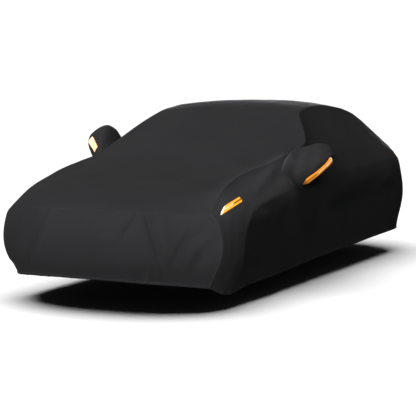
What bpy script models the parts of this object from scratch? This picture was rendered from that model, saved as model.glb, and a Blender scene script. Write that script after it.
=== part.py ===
"""A fitted car cover of thin stretch cloth, in the shape it takes over a fastback car.

Metres, +Z up. The cover's front faces -Y and its left side faces +X. The tables below give
places along the car from midway between its axles, and heights above the ground. The part's
origin is the point under the roof that holds the cover up, so ROOF_REST is taken off them all.

The cover is sewn from a front, a top, two side panels and a rear panel, two mirror pockets
set into holes in the side panels, and six reflective strips.
"""

import math
from collections import namedtuple

import bmesh
import bpy
import numpy as np
from mathutils import Vector
from mathutils.bvhtree import BVHTree

# ---------------------------------------------------------------- driving dimensions

CLOTH = 0.003               # thickness of a panel
SEAM_GAP = 0.0004           # between two panels that are sewn together
ROOF_REST = (0.0, 0.50, 1.433)   # the roof's highest point inside, which is the origin

STRIP_THICKNESS = 0.0010

POCKET_CLOTH = 0.0025
POCKET_HOLE_GAP = 0.0005    # between a pocket's neck and the hole that it is sewn into
NECK_INSIDE = 0.004         # the neck reaches this far behind the panel's outer face
RING_LIFT = 0.0065          # a ring that lies on the panel stands this far off it

LEFT, RIGHT = 1, -1

# ---------------------------------------------------------------- the shape over the car

# One row for each section across the car. y is where the section meets the rail, the line of
# the seam between the top panel and a side panel. ahead is how far its middle lies towards
# the front of that. From the rail the side runs out to the belt under the windows, down over
# the waist, which is the widest place, and in to the hem. lean carries the hem along the car.
Section = namedtuple(
    "Section",
    "y ahead crown_z rail_x rail_z belt_x belt_z waist_x hem_x hem_z lean",
)
SECTIONS = (
    Section(-1.93, 0.36, 0.740, 0.822, 0.718, 0.882, 0.640, 0.910, 0.822, 0.196, 0.00),
    Section(-1.75, 0.42, 0.800, 0.795, 0.822, 0.891, 0.668, 0.916, 0.850, 0.165, 0.00),
    Section(-1.45, 0.40, 0.870, 0.768, 0.918, 0.901, 0.712, 0.919, 0.880, 0.155, 0.00),
    Section(-1.05, 0.36, 0.925, 0.775, 0.980, 0.908, 0.766, 0.920, 0.894, 0.160, 0.00),
    Section(-0.75, 0.32, 0.985, 0.792, 1.014, 0.911, 0.788, 0.921, 0.895, 0.168, 0.00),
    Section(-0.45, 0.28, 1.110, 0.820, 1.080, 0.913, 0.808, 0.921, 0.895, 0.177, 0.00),
    Section(-0.21, 0.24, 1.220, 0.833, 1.142, 0.914, 0.820, 0.921, 0.895, 0.184, 0.00),
    Section(-0.06, 0.20, 1.290, 0.750, 1.240, 0.914, 0.829, 0.921, 0.895, 0.189, 0.00),
    Section(0.09, 0.16, 1.358, 0.652, 1.336, 0.914, 0.837, 0.921, 0.895, 0.193, 0.00),
    Section(0.32, 0.10, 1.416, 0.612, 1.382, 0.913, 0.848, 0.921, 0.895, 0.200, 0.00),
    Section(0.65, 0.03, 1.436, 0.600, 1.394, 0.912, 0.862, 0.921, 0.895, 0.208, 0.00),
    Section(0.95, -0.02, 1.424, 0.600, 1.380, 0.911, 0.872, 0.921, 0.895, 0.213, 0.00),
    Section(1.25, -0.06, 1.390, 0.600, 1.340, 0.908, 0.881, 0.921, 0.895, 0.217, 0.00),
    Section(1.50, -0.12, 1.330, 0.618, 1.275, 0.904, 0.884, 0.919, 0.895, 0.220, 0.00),
    Section(1.70, -0.18, 1.240, 0.655, 1.182, 0.892, 0.882, 0.915, 0.892, 0.222, 0.00),
    Section(1.90, -0.24, 1.130, 0.712, 1.060, 0.871, 0.872, 0.905, 0.880, 0.222, -0.02),
    Section(2.05, -0.28, 1.045, 0.760, 0.960, 0.847, 0.850, 0.891, 0.860, 0.222, -0.08),
    Section(2.14, -0.30, 1.000, 0.775, 0.895, 0.824, 0.812, 0.877, 0.838, 0.222, -0.14),
)

# The middle of the front and of the rear panel, from the panel's top seam down to its hem.
# down is the share of the way, out is how far the panel's middle lies along the car, and
# square is how boxy the panel is, seen from above.
EndRow = namedtuple("EndRow", "down out z square")
FRONT_ROWS = (
    EndRow(0.00, -2.290, 0.740, 2.6),
    EndRow(0.15, -2.330, 0.665, 2.7),
    EndRow(0.45, -2.355, 0.530, 2.8),
    EndRow(0.70, -2.335, 0.390, 2.8),
    EndRow(1.00, -2.245, 0.246, 2.8),
)
REAR_ROWS = (
    EndRow(0.00, 2.440, 1.000, 2.6),
    EndRow(0.20, 2.490, 0.860, 2.8),
    EndRow(0.50, 2.500, 0.620, 3.0),
    EndRow(0.80, 2.440, 0.400, 3.0),
    EndRow(1.00, 2.340, 0.250, 3.0),
)

BOW_SQUARE = 2.6            # how boxy a section is, seen from above
CROWN_SQUARE = 2.4          # and seen from the front
SIDE_STOPS = (0.0, 0.30, 0.62, 1.0)      # rail, belt, waist and hem, as shares of the side
WAIST_RISE = 0.03           # the waist's height over the middle between belt and hem

# Where the grids have their lines.
STEPS_PER_SECTION = 2
TOP_COLUMNS = 22
EVEN_SHARE = 0.6            # 1 spaces the columns evenly, and less draws them to the rails
FRONT_SPLIT = 2             # the front has this many columns to each of the top's
SIDE_LINES = (0.0, 0.08, 0.16, 0.23, 0.29, 0.35, 0.42, 0.51, 0.62, 0.75, 0.88, 1.0)

# Which way the cross product of a grid's two directions faces, to turn it outwards.
FACING = {
    "top_panel": -1,
    "left_panel": -1,
    "right_panel": 1,
    "front_panel": 1,
    "rear_panel": -1,
}
# Which of a grid's edges are seams: first row, last row, first column, last column.
SEAMS = {
    "top_panel": (True, True, True, True),
    "left_panel": (True, True, True, False),
    "right_panel": (True, True, True, False),
    "front_panel": (True, False, True, True),
    "rear_panel": (True, False, True, True),
}

# ---------------------------------------------------------------- where the cloth is uneven

# Soft ridges, and troughs where rise is under nought. Rows of one name that follow each other
# are places along one crease. width is the distance at which it has died down to a third.
Crease = namedtuple("Crease", "name x y z width rise")
CREASES = (
    Crease("front_edge", -0.44, -2.22, 0.740, 0.035, 0.002),
    Crease("front_edge", -0.25, -2.27, 0.746, 0.035, 0.006),
    Crease("front_edge", 0.05, -2.29, 0.748, 0.035, 0.005),
    Crease("front_edge", 0.35, -2.25, 0.741, 0.035, 0.007),
    Crease("front_edge", 0.62, -2.12, 0.727, 0.035, 0.007),
    Crease("front_edge", 0.80, -1.97, 0.708, 0.035, 0.004),
    Crease("front_left_trough", -0.31, -2.26, 0.740, 0.035, -0.002),
    Crease("front_left_trough", -0.36, -2.30, 0.640, 0.042, -0.009),
    Crease("front_left_trough", -0.43, -2.30, 0.480, 0.048, -0.012),
    Crease("front_left_trough", -0.51, -2.19, 0.270, 0.045, -0.007),
    Crease("front_left_ridge", -0.22, -2.29, 0.720, 0.040, 0.002),
    Crease("front_left_ridge", -0.30, -2.34, 0.550, 0.045, 0.006),
    Crease("front_left_ridge", -0.40, -2.26, 0.320, 0.045, 0.003),
    Crease("far_corner_hollow", -0.57, -2.22, 0.620, 0.100, -0.011),
    Crease("far_corner_hollow", -0.48, -2.28, 0.590, 0.090, -0.012),
    Crease("front_short_trough", 0.43, -2.24, 0.720, 0.030, -0.003),
    Crease("front_short_trough", 0.37, -2.31, 0.630, 0.036, -0.008),
    Crease("front_short_trough", 0.28, -2.34, 0.530, 0.040, -0.003),
    Crease("front_mid_trough", 0.49, -2.21, 0.720, 0.032, -0.004),
    Crease("front_mid_trough", 0.52, -2.25, 0.620, 0.035, -0.011),
    Crease("front_mid_trough", 0.56, -2.25, 0.500, 0.036, -0.010),
    Crease("front_mid_trough", 0.59, -2.22, 0.420, 0.040, -0.003),
    Crease("front_mid_ridge", 0.56, -2.18, 0.700, 0.035, 0.002),
    Crease("front_mid_ridge", 0.60, -2.22, 0.580, 0.036, 0.007),
    Crease("front_mid_ridge", 0.64, -2.20, 0.460, 0.040, 0.003),
    Crease("near_corner_trough", 0.81, -2.01, 0.650, 0.035, -0.003),
    Crease("near_corner_trough", 0.75, -2.10, 0.550, 0.036, -0.008),
    Crease("near_corner_trough", 0.65, -2.18, 0.400, 0.040, -0.004),
    Crease("near_corner_ridge", 0.87, -1.96, 0.600, 0.032, 0.002),
    Crease("near_corner_ridge", 0.81, -2.05, 0.510, 0.034, 0.005),
    Crease("near_corner_ridge", 0.73, -2.11, 0.390, 0.036, 0.002),
    Crease("near_lamp_hollow", 0.81, -2.05, 0.470, 0.055, -0.008),
    Crease("near_lamp_hollow", 0.80, -2.05, 0.410, 0.055, -0.009),
    Crease("bumper_line", -0.28, -2.34, 0.550, 0.045, 0.002),
    Crease("bumper_line", 0.00, -2.35, 0.550, 0.045, 0.006),
    Crease("bumper_line", 0.20, -2.35, 0.550, 0.045, 0.005),
    Crease("bumper_line", 0.40, -2.31, 0.560, 0.045, 0.002),
    Crease("hem_ripple_one", 0.30, -2.32, 0.400, 0.035, 0.001),
    Crease("hem_ripple_one", 0.33, -2.23, 0.260, 0.032, 0.006),
    Crease("hem_ripple_two", 0.47, -2.27, 0.380, 0.035, -0.001),
    Crease("hem_ripple_two", 0.50, -2.19, 0.260, 0.030, -0.007),
    Crease("hem_ripple_three", -0.12, -2.34, 0.400, 0.045, 0.001),
    Crease("hem_ripple_three", -0.14, -2.25, 0.260, 0.040, 0.005),
    Crease("left_corner_ridge", 0.87, -1.90, 0.680, 0.035, 0.003),
    Crease("left_corner_ridge", 0.91, -1.91, 0.500, 0.035, 0.008),
    Crease("left_corner_ridge", 0.88, -1.90, 0.300, 0.035, 0.005),
    Crease("left_corner_trough", 0.90, -1.70, 0.680, 0.050, -0.003),
    Crease("left_corner_trough", 0.92, -1.72, 0.520, 0.055, -0.012),
    Crease("left_corner_trough", 0.91, -1.76, 0.360, 0.055, -0.009),
    Crease("left_corner_trough", 0.88, -1.80, 0.240, 0.050, -0.003),
    Crease("left_edge_ridge", 0.92, -1.56, 0.520, 0.045, 0.002),
    Crease("left_edge_ridge", 0.92, -1.58, 0.420, 0.050, 0.007),
    Crease("left_edge_ridge", 0.90, -1.57, 0.300, 0.050, 0.004),
    Crease("left_belt_edge", 0.92, -1.57, 0.500, 0.032, 0.002),
    Crease("left_belt_edge", 0.92, -1.53, 0.590, 0.030, 0.005),
    Crease("left_belt_edge", 0.91, -1.42, 0.695, 0.030, 0.006),
    Crease("left_belt_edge", 0.91, -1.25, 0.737, 0.028, 0.006),
    Crease("left_belt_edge", 0.91, -1.03, 0.762, 0.028, 0.005),
    Crease("left_belt_edge", 0.91, -0.76, 0.783, 0.028, 0.002),
    Crease("left_belt_edge_behind", 0.91, 0.00, 0.834, 0.028, 0.001),
    Crease("left_belt_edge_behind", 0.91, 0.40, 0.853, 0.028, 0.005),
    Crease("left_belt_edge_behind", 0.91, 0.95, 0.872, 0.028, 0.005),
    Crease("left_belt_edge_behind", 0.90, 1.50, 0.884, 0.030, 0.004),
    Crease("left_belt_edge_behind", 0.88, 1.76, 0.880, 0.030, 0.001),
    Crease("left_tension_ridge", 0.81, -0.62, 1.030, 0.035, 0.003),
    Crease("left_tension_ridge", 0.82, -0.90, 0.940, 0.040, 0.008),
    Crease("left_tension_ridge", 0.87, -1.28, 0.830, 0.045, 0.003),
    Crease("left_tension_trough", 0.86, -0.55, 0.950, 0.040, -0.002),
    Crease("left_tension_trough", 0.87, -0.85, 0.870, 0.045, -0.007),
    Crease("left_tension_trough", 0.88, -1.15, 0.800, 0.045, -0.002),
    Crease("left_front_arch", 0.92, -1.58, 0.560, 0.055, 0.002),
    Crease("left_front_arch", 0.91, -1.50, 0.630, 0.055, 0.005),
    Crease("left_front_arch", 0.91, -1.30, 0.660, 0.055, 0.006),
    Crease("left_front_arch", 0.92, -1.06, 0.570, 0.055, 0.002),
    Crease("left_rear_arch", 0.92, 1.18, 0.620, 0.050, 0.003),
    Crease("left_rear_arch", 0.92, 1.34, 0.700, 0.050, 0.008),
    Crease("left_rear_arch", 0.91, 1.56, 0.725, 0.050, 0.008),
    Crease("left_rear_arch", 0.91, 1.76, 0.670, 0.050, 0.007),
    Crease("left_rear_arch", 0.91, 1.88, 0.560, 0.050, 0.003),
    Crease("left_door_slack", 0.92, 0.10, 0.620, 0.090, 0.001),
    Crease("left_door_slack", 0.93, 0.50, 0.580, 0.100, -0.006),
    Crease("left_door_slack", 0.92, 0.95, 0.600, 0.090, -0.002),
    Crease("right_corner_ridge", -0.89, -1.88, 0.660, 0.035, 0.003),
    Crease("right_corner_ridge", -0.92, -1.89, 0.500, 0.035, 0.006),
    Crease("right_corner_ridge", -0.88, -1.90, 0.320, 0.035, 0.003),
    Crease("right_corner_trough", -0.91, -1.64, 0.660, 0.050, -0.002),
    Crease("right_corner_trough", -0.92, -1.68, 0.480, 0.060, -0.010),
    Crease("right_corner_trough", -0.89, -1.74, 0.300, 0.055, -0.003),
    Crease("right_belt_edge", -0.92, -1.57, 0.520, 0.032, 0.002),
    Crease("right_belt_edge", -0.91, -1.45, 0.670, 0.030, 0.006),
    Crease("right_belt_edge", -0.91, -1.20, 0.745, 0.028, 0.005),
    Crease("right_belt_edge", -0.91, -0.74, 0.784, 0.028, 0.002),
    Crease("right_belt_edge_behind", -0.91, 0.02, 0.835, 0.028, 0.001),
    Crease("right_belt_edge_behind", -0.91, 0.45, 0.855, 0.028, 0.004),
    Crease("right_belt_edge_behind", -0.91, 1.10, 0.877, 0.028, 0.005),
    Crease("right_belt_edge_behind", -0.88, 1.74, 0.880, 0.030, 0.001),
    Crease("right_tension_ridge", -0.81, -0.60, 1.040, 0.040, 0.003),
    Crease("right_tension_ridge", -0.81, -0.95, 0.950, 0.045, 0.007),
    Crease("right_tension_ridge", -0.86, -1.30, 0.850, 0.045, 0.002),
    Crease("right_front_arch", -0.92, -1.56, 0.550, 0.055, 0.002),
    Crease("right_front_arch", -0.91, -1.46, 0.640, 0.055, 0.006),
    Crease("right_front_arch", -0.91, -1.26, 0.660, 0.055, 0.005),
    Crease("right_front_arch", -0.92, -1.04, 0.560, 0.055, 0.002),
    Crease("right_rear_arch", -0.92, 1.20, 0.610, 0.050, 0.002),
    Crease("right_rear_arch", -0.92, 1.36, 0.690, 0.050, 0.006),
    Crease("right_rear_arch", -0.91, 1.54, 0.720, 0.050, 0.007),
    Crease("right_rear_arch", -0.91, 1.76, 0.660, 0.050, 0.006),
    Crease("right_rear_arch", -0.91, 1.86, 0.560, 0.050, 0.002),
    Crease("right_door_slack", -0.92, 0.30, 0.600, 0.100, -0.004),
    Crease("right_door_slack", -0.93, 0.70, 0.560, 0.090, -0.006),
    Crease("right_door_slack", -0.92, 1.00, 0.600, 0.090, -0.002),
    Crease("screen_foot", -0.66, -0.98, 0.984, 0.070, -0.001),
    Crease("screen_foot", -0.36, -1.22, 0.953, 0.080, -0.003),
    Crease("screen_foot", 0.00, -1.30, 0.941, 0.080, -0.002),
    Crease("screen_foot", 0.36, -1.22, 0.953, 0.080, -0.003),
    Crease("screen_foot", 0.66, -0.98, 0.984, 0.070, -0.001),
    Crease("hood_slack", -0.52, -1.62, 0.900, 0.070, 0.001),
    Crease("hood_slack", -0.28, -1.82, 0.873, 0.080, 0.005),
    Crease("hood_slack", 0.05, -1.95, 0.853, 0.080, 0.002),
    Crease("roof_slack", -0.25, 0.95, 1.419, 0.120, 0.001),
    Crease("roof_slack", -0.10, 1.25, 1.398, 0.120, -0.004),
    Crease("roof_slack", 0.12, 1.50, 1.356, 0.120, -0.001),
    Crease("rear_left_trough", 0.28, 2.44, 0.950, 0.045, -0.003),
    Crease("rear_left_trough", 0.33, 2.48, 0.720, 0.050, -0.009),
    Crease("rear_left_trough", 0.38, 2.43, 0.450, 0.050, -0.003),
    Crease("rear_right_trough", -0.36, 2.42, 0.930, 0.045, -0.003),
    Crease("rear_right_trough", -0.44, 2.45, 0.660, 0.050, -0.008),
    Crease("rear_right_trough", -0.47, 2.39, 0.420, 0.050, -0.003),
    Crease("rear_edge", -0.62, 2.34, 0.800, 0.050, 0.002),
    Crease("rear_edge", -0.10, 2.49, 0.840, 0.050, 0.006),
    Crease("rear_edge", 0.50, 2.41, 0.810, 0.050, 0.003),
    Crease("rear_plate_hollow", -0.16, 2.49, 0.600, 0.070, -0.006),
    Crease("rear_plate_hollow", 0.20, 2.49, 0.600, 0.070, -0.007),
)

# Where a side's hem hangs lower, or higher where drop is under nought.
HemDip = namedtuple("HemDip", "side y reach drop")
HEM_DIPS = (
    HemDip(LEFT, -1.72, 0.20, 0.045),
    HemDip(LEFT, -0.20, 0.16, -0.006),
    HemDip(LEFT, 0.75, 0.18, 0.005),
    HemDip(RIGHT, -1.55, 0.25, 0.008),
    HemDip(RIGHT, 0.35, 0.20, 0.006),
)

# ---------------------------------------------------------------- pockets and strips

# A pocket's neck is an oval hole in the side panel, and each ring further out is an oval too.
# out is the ring's distance from the car's middle, and the next four are the oval's reach. push
# moves its bottom forward and its top back. Where a ring's out lies inside the panel, the ring
# lies on the panel instead.
Ring = namedtuple("Ring", "out low high front back push")
NECK = Ring(0.0, 0.812, 1.085, -0.455, -0.130, 0.0)
POCKET_RINGS = {
    LEFT: (
        Ring(0.840, 0.812, 1.085, -0.455, -0.130, 0.000),
        Ring(0.840, 0.790, 1.098, -0.660, -0.108, 0.050),
        Ring(0.900, 0.795, 1.112, -0.605, -0.097, 0.080),
        Ring(0.950, 0.812, 1.130, -0.552, -0.102, 0.100),
        Ring(0.995, 0.858, 1.122, -0.504, -0.110, 0.105),
        Ring(1.040, 0.906, 1.092, -0.466, -0.145, 0.090),
        Ring(1.074, 0.955, 1.056, -0.418, -0.190, 0.050),
    ),
    RIGHT: (
        Ring(0.840, 0.812, 1.085, -0.455, -0.130, 0.000),
        Ring(0.840, 0.790, 1.098, -0.620, -0.108, 0.040),
        Ring(0.895, 0.815, 1.195, -0.555, -0.095, 0.040),
        Ring(0.940, 0.850, 1.230, -0.500, -0.085, 0.030),
        Ring(0.980, 0.885, 1.232, -0.460, -0.080, 0.020),
        Ring(1.020, 0.930, 1.215, -0.435, -0.082, 0.010),
        Ring(1.060, 0.990, 1.184, -0.400, -0.105, 0.000),
        Ring(1.088, 1.045, 1.140, -0.340, -0.150, 0.000),
    ),
}
POCKET_TIPS = {LEFT: (1.092, -0.310, 1.010), RIGHT: (1.100, -0.250, 1.095)}
RING_SIDES = 24
STEPS_PER_RING = 2
HOLE_CUT_FROM_TO = (0.70, 0.97)   # the reach of the prism that cuts a pocket's hole

# A reflective strip runs between the middles of its two ends, and its outer face looks the way
# of facing. slant skews its ends along its run, and lift is its height over the cloth.
Strip = namedtuple(
    "Strip", "name on x1 y1 z1 x2 y2 z2 facing_x facing_y facing_z width slant lift"
)
STRIPS = (
    Strip(
        "front_left_strip", "cloth_face",
        0.850, -1.835, 0.722, 0.856, -1.480, 0.790, 0.80, -0.12, 0.58, 0.038, 0.045, 0.0010,
    ),
    Strip(
        "front_right_strip", "cloth_face",
        -0.850, -1.830, 0.723, -0.856, -1.470, 0.792, -0.80, -0.12, 0.58, 0.038, -0.045, 0.0010,
    ),
    Strip(
        "left_mirror_strip", "left_mirror_pocket",
        1.080, -0.240, 1.000, 0.936, -0.495, 0.820, 0.66, -0.64, -0.38, 0.060, 0.0, 0.0013,
    ),
    Strip(
        "right_mirror_strip", "right_mirror_pocket",
        -1.048, -0.400, 1.132, -0.925, -0.520, 0.925, -0.62, -0.75, 0.10, 0.050, 0.0, 0.0007,
    ),
    Strip(
        "rear_left_strip", "cloth_face",
        0.815, 2.030, 0.905, 0.600, 2.330, 0.880, 0.75, 0.65, 0.15, 0.050, 0.0, 0.0009,
    ),
    Strip(
        "rear_right_strip", "cloth_face",
        -0.815, 2.025, 0.905, -0.600, 2.330, 0.880, -0.75, 0.65, 0.15, 0.050, 0.0, 0.0009,
    ),
)
STRIP_FROM_OUT = 0.06       # the flat sheet is laid on the cloth from this far out
STRIP_CELLS_ALONG = 24
STRIP_CELLS_ACROSS = 4

CLOTH_COLOUR = (0.026, 0.026, 0.028)
TAPE_COLOUR = (0.85, 0.32, 0.02)


# ---------------------------------------------------------------- reading the tables

def smooth(stops, values, at):
    """Values between the stops of a table, along a smooth curve through them, column by column."""
    stops = np.asarray(stops, float)
    values = np.asarray(values, float).reshape(len(stops), -1)
    step = np.diff(stops)[:, None]
    slope = np.diff(values, axis=0) / step
    inner = (step[1:] * slope[:-1] + step[:-1] * slope[1:]) / (step[:-1] + step[1:])
    tangent = np.vstack([slope[:1], inner, slope[-1:]])
    at = np.asarray(at, float)
    piece = np.clip(np.searchsorted(stops, at, side="right") - 1, 0, len(step) - 1)
    width = step[piece]
    u = ((at - stops[piece]) / width[:, 0])[:, None]
    return (
        (2 * u**3 - 3 * u**2 + 1) * values[piece]
        + (u**3 - 2 * u**2 + u) * width * tangent[piece]
        + (3 * u**2 - 2 * u**3) * values[piece + 1]
        + (u**3 - u**2) * width * tangent[piece + 1]
    )


def section_places(steps):
    """Places along the car: the table's rows, with even steps between them."""
    rows = [section.y for section in SECTIONS]
    count = (len(rows) - 1) * steps + 1
    return np.interp(np.arange(count) / steps, np.arange(len(rows)), rows)


def columns_across(count):
    """Places across a panel, from -1 at the right rail to 1 at the left one."""
    even = np.linspace(-1, 1, count + 1)
    return EVEN_SHARE * even + (1 - EVEN_SHARE) * np.sin(even * math.pi / 2)


def sections_at(places):
    table = np.array(SECTIONS)
    return Section(*smooth(table[:, 0], table, places).T)


# ---------------------------------------------------------------- the smooth surfaces

def top_grid(sections, across):
    """Points of the top panel, section by section, from the right rail to the left one."""
    s = Section(*[column[:, None] for column in sections])
    x = s.rail_x * across
    y = s.y - s.ahead * (1 - abs(across) ** BOW_SQUARE)
    z = s.crown_z - (s.crown_z - s.rail_z) * abs(across) ** CROWN_SQUARE
    return np.stack(np.broadcast_arrays(x, y, z), axis=-1)


def hem_height(sections, side):
    height = sections.hem_z.copy()
    for dip in HEM_DIPS:
        if dip.side == side:
            height -= dip.drop * np.exp(-(((sections.y - dip.y) / dip.reach) ** 2))
    return height


def side_grid(sections, down, side):
    """Points of a side panel, section by section, from the rail to the hem."""
    hem_z = hem_height(sections, side)
    waist_z = (sections.belt_z + hem_z) / 2 + WAIST_RISE
    reach = (sections.rail_x, sections.belt_x, sections.waist_x, sections.hem_x)
    height = (sections.rail_z, sections.belt_z, waist_z, hem_z)
    x = smooth(SIDE_STOPS, reach, down)
    z = smooth(SIDE_STOPS, height, down)
    y = sections.y + sections.lean * down[:, None] ** 3
    return np.stack([side * x, y, z], axis=-1).transpose(1, 0, 2)


def end_grid(rows, left_edge, right_edge, across, down):
    """Points of the front or rear panel, row by row from its top seam to its hem."""
    table = np.array(rows)
    _, middle_y, middle_z, square = smooth(table[:, 0], table, down).T[:, :, None]
    edge = np.where(across[None, :, None] > 0, left_edge[:, None, :], right_edge[:, None, :])
    t = abs(across)[None, :]
    x = abs(edge[..., 0]) * across
    y = middle_y + (edge[..., 1] - middle_y) * t**square
    z = middle_z + (edge[..., 2] - middle_z) * t**CROWN_SQUARE
    return np.stack([x, y, z], axis=-1)


def unit(vectors):
    return vectors / np.linalg.norm(vectors, axis=-1, keepdims=True)


def outward_normals(grid, way):
    return unit(way * np.cross(np.gradient(grid, axis=0), np.gradient(grid, axis=1)))


def share_seam_normals(grids, normals):
    """Gives panels that meet at a seam the same normal there, so that their edges run side by side."""
    total = {}
    keys = {name: np.round(grid, 5) for name, grid in grids.items()}
    for name, grid_keys in keys.items():
        for key, normal in zip(grid_keys.reshape(-1, 3), normals[name].reshape(-1, 3)):
            total[tuple(key)] = total.get(tuple(key), 0) + normal
    for name, grid_keys in keys.items():
        merged = [total[tuple(key)] for key in grid_keys.reshape(-1, 3)]
        normals[name] = unit(np.array(merged)).reshape(normals[name].shape)


def crease_rise(points):
    """How far the creases lift each point out of the smooth surface."""
    rise = np.zeros(points.shape[:-1])
    for name in dict.fromkeys(crease.name for crease in CREASES):
        rows = np.array([crease[1:] for crease in CREASES if crease.name == name])
        nearest = np.full(points.shape[:-1], np.inf)
        lift = np.zeros(points.shape[:-1])
        for start, end in zip(rows, rows[1:]):
            run = end[:3] - start[:3]
            share = np.clip((points - start[:3]) @ run / (run @ run), 0, 1)
            away = np.linalg.norm(points - start[:3] - share[..., None] * run, axis=-1)
            width = start[3] + share * (end[3] - start[3])
            height = start[4] + share * (end[4] - start[4])
            closer = away < nearest
            lift[closer] = (height * np.exp(-((away / width) ** 2)))[closer]
            nearest[closer] = away[closer]
        rise += lift
    return rise


def level_between(row, split):
    """Puts the extra points of a split row on the straight lines between the others."""
    for extra in range(1, split):
        share = extra / split
        row[extra::split] = row[:-1:split] * (1 - share) + row[split::split] * share


def cover_surface(steps, top_columns, front_split, side_lines):
    """The panels' outer points and normals, as grids that share their points along each seam."""
    sections = sections_at(section_places(steps))
    across = columns_across(top_columns)
    front_across = np.interp(
        np.arange(top_columns * front_split + 1) / front_split, np.arange(top_columns + 1), across
    )
    down = np.asarray(side_lines)
    left = side_grid(sections, down, LEFT)
    right = side_grid(sections, down, RIGHT)
    grids = {
        "top_panel": top_grid(sections, across),
        "left_panel": left,
        "right_panel": right,
        "front_panel": end_grid(FRONT_ROWS, left[0], right[0], front_across, down),
        "rear_panel": end_grid(REAR_ROWS, left[-1], right[-1], across, down),
    }
    normals = {name: outward_normals(grid, FACING[name]) for name, grid in grids.items()}
    share_seam_normals(grids, normals)
    outer = {
        name: grid + normals[name] * crease_rise(grid)[..., None] for name, grid in grids.items()
    }
    level_between(outer["front_panel"][0], front_split)
    level_between(normals["front_panel"][0], front_split)
    return outer, normals


# ---------------------------------------------------------------- solids

def seam_pull(outer, normals, seams):
    """Moves a panel's seam edges back from its neighbours, square to each edge."""
    pull = np.zeros_like(outer)
    edges = ((0, slice(None)), (-1, slice(None)), (slice(None), 0), (slice(None), -1))
    inward = ((1, slice(None)), (-2, slice(None)), (slice(None), 1), (slice(None), -2))
    for is_seam, edge, inner in zip(seams, edges, inward):
        if not is_seam:
            continue
        square = unit(np.cross(normals[edge], np.gradient(outer[edge], axis=0)))
        way = np.sign(((outer[inner] - outer[edge]) * square).sum(axis=-1, keepdims=True))
        pull[edge] += way * square * SEAM_GAP / 2
    return pull


def facets(grid):
    """Each cell of a grid as two triangles, split along its shorter diagonal."""
    rows, columns = grid.shape[:2]
    triangles = []
    for i in range(rows - 1):
        for j in range(columns - 1):
            a, b = i * columns + j, i * columns + j + 1
            c, d = a + columns, b + columns
            falling = np.linalg.norm(grid[i, j] - grid[i + 1, j + 1])
            rising = np.linalg.norm(grid[i, j + 1] - grid[i + 1, j])
            if falling < rising:
                triangles += [(a, c, d), (a, d, b)]
            else:
                triangles += [(a, c, b), (b, c, d)]
    return triangles


def rim_of(rows, columns):
    """The indices of a grid's border, in order."""
    index = np.arange(rows * columns).reshape(rows, columns)
    return [*index[0, :-1], *index[:-1, -1], *index[-1, :0:-1], *index[:0:-1, 0]]


def add_object(name, points, faces, material, collection):
    """An object from points above the ground. A closed one has its faces turned outwards, and
    an open one keeps the order in which its faces go round."""
    bm = bmesh.new()
    vertices = [bm.verts.new(Vector(point) - Vector(ROOF_REST)) for point in points]
    for face in faces:
        bm.faces.new([vertices[index] for index in face])
    if all(edge.is_manifold for edge in bm.edges):
        bmesh.ops.recalc_face_normals(bm, faces=bm.faces)
    mesh = bpy.data.meshes.new(name)
    bm.to_mesh(mesh)
    bm.free()
    mesh.polygons.foreach_set("use_smooth", [True] * len(mesh.polygons))
    mesh.materials.append(material)
    obj = bpy.data.objects.new(name, mesh)
    collection.objects.link(obj)
    return obj


def add_helper(name, points, faces, material, collection):
    """An object that only cuts or guides others."""
    obj = add_object(name, points, faces, material, collection)
    obj.hide_render = True
    obj.display_type = "WIRE"
    return obj


def panel_shell(outer, normals, seams):
    """Points and faces of a panel. A Solidify would lean a seam's edge its own way on each of
    the two panels, so the inner face is laid along the normals that they share."""
    rows, columns = outer.shape[:2]
    face = outer + seam_pull(outer, normals, seams)
    points = np.concatenate([face.reshape(-1, 3), (face - normals * CLOTH).reshape(-1, 3)])
    count = rows * columns
    front = facets(face)
    back = [(c + count, b + count, a + count) for a, b, c in front]
    rim = rim_of(rows, columns)
    walls = [(a, b, b + count, a + count) for a, b in zip(rim, rim[1:] + rim[:1])]
    return points, front + back + walls


def joined_facets(outer):
    """The outer faces of all the panels together, as a guide for what lies on them."""
    points, faces = [], []
    for name, grid in outer.items():
        start = len(points)
        points += [tuple(point) for point in grid.reshape(-1, 3)]
        for face in facets(grid):
            ordered = face if FACING[name] > 0 else face[::-1]
            faces.append(tuple(start + index for index in ordered))
    return points, faces


def oval(ring, grow=0.0):
    """A ring's places along the car and in height."""
    turn = np.arange(RING_SIDES) * 2 * math.pi / RING_SIDES
    y = (ring.front + ring.back) / 2 + ((ring.back - ring.front) / 2 + grow) * np.cos(turn)
    y = y + ring.push * np.sin(turn)
    z = (ring.low + ring.high) / 2 + ((ring.high - ring.low) / 2 + grow) * np.sin(turn)
    return y, z


def panel_reach(panel, side, y, z):
    """How far out a side panel's outer face lies at places along the car and in height, and
    nought beyond the panel."""
    tree = BVHTree.FromPolygons([tuple(point) for point in panel.reshape(-1, 3)], facets(panel))
    way = Vector((-side, 0, 0))
    hits = [tree.ray_cast(Vector((2.0 * side, *at)), way)[0] for at in zip(y, z)]
    return np.array([abs(hit.x) if hit else 0.0 for hit in hits])


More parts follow.
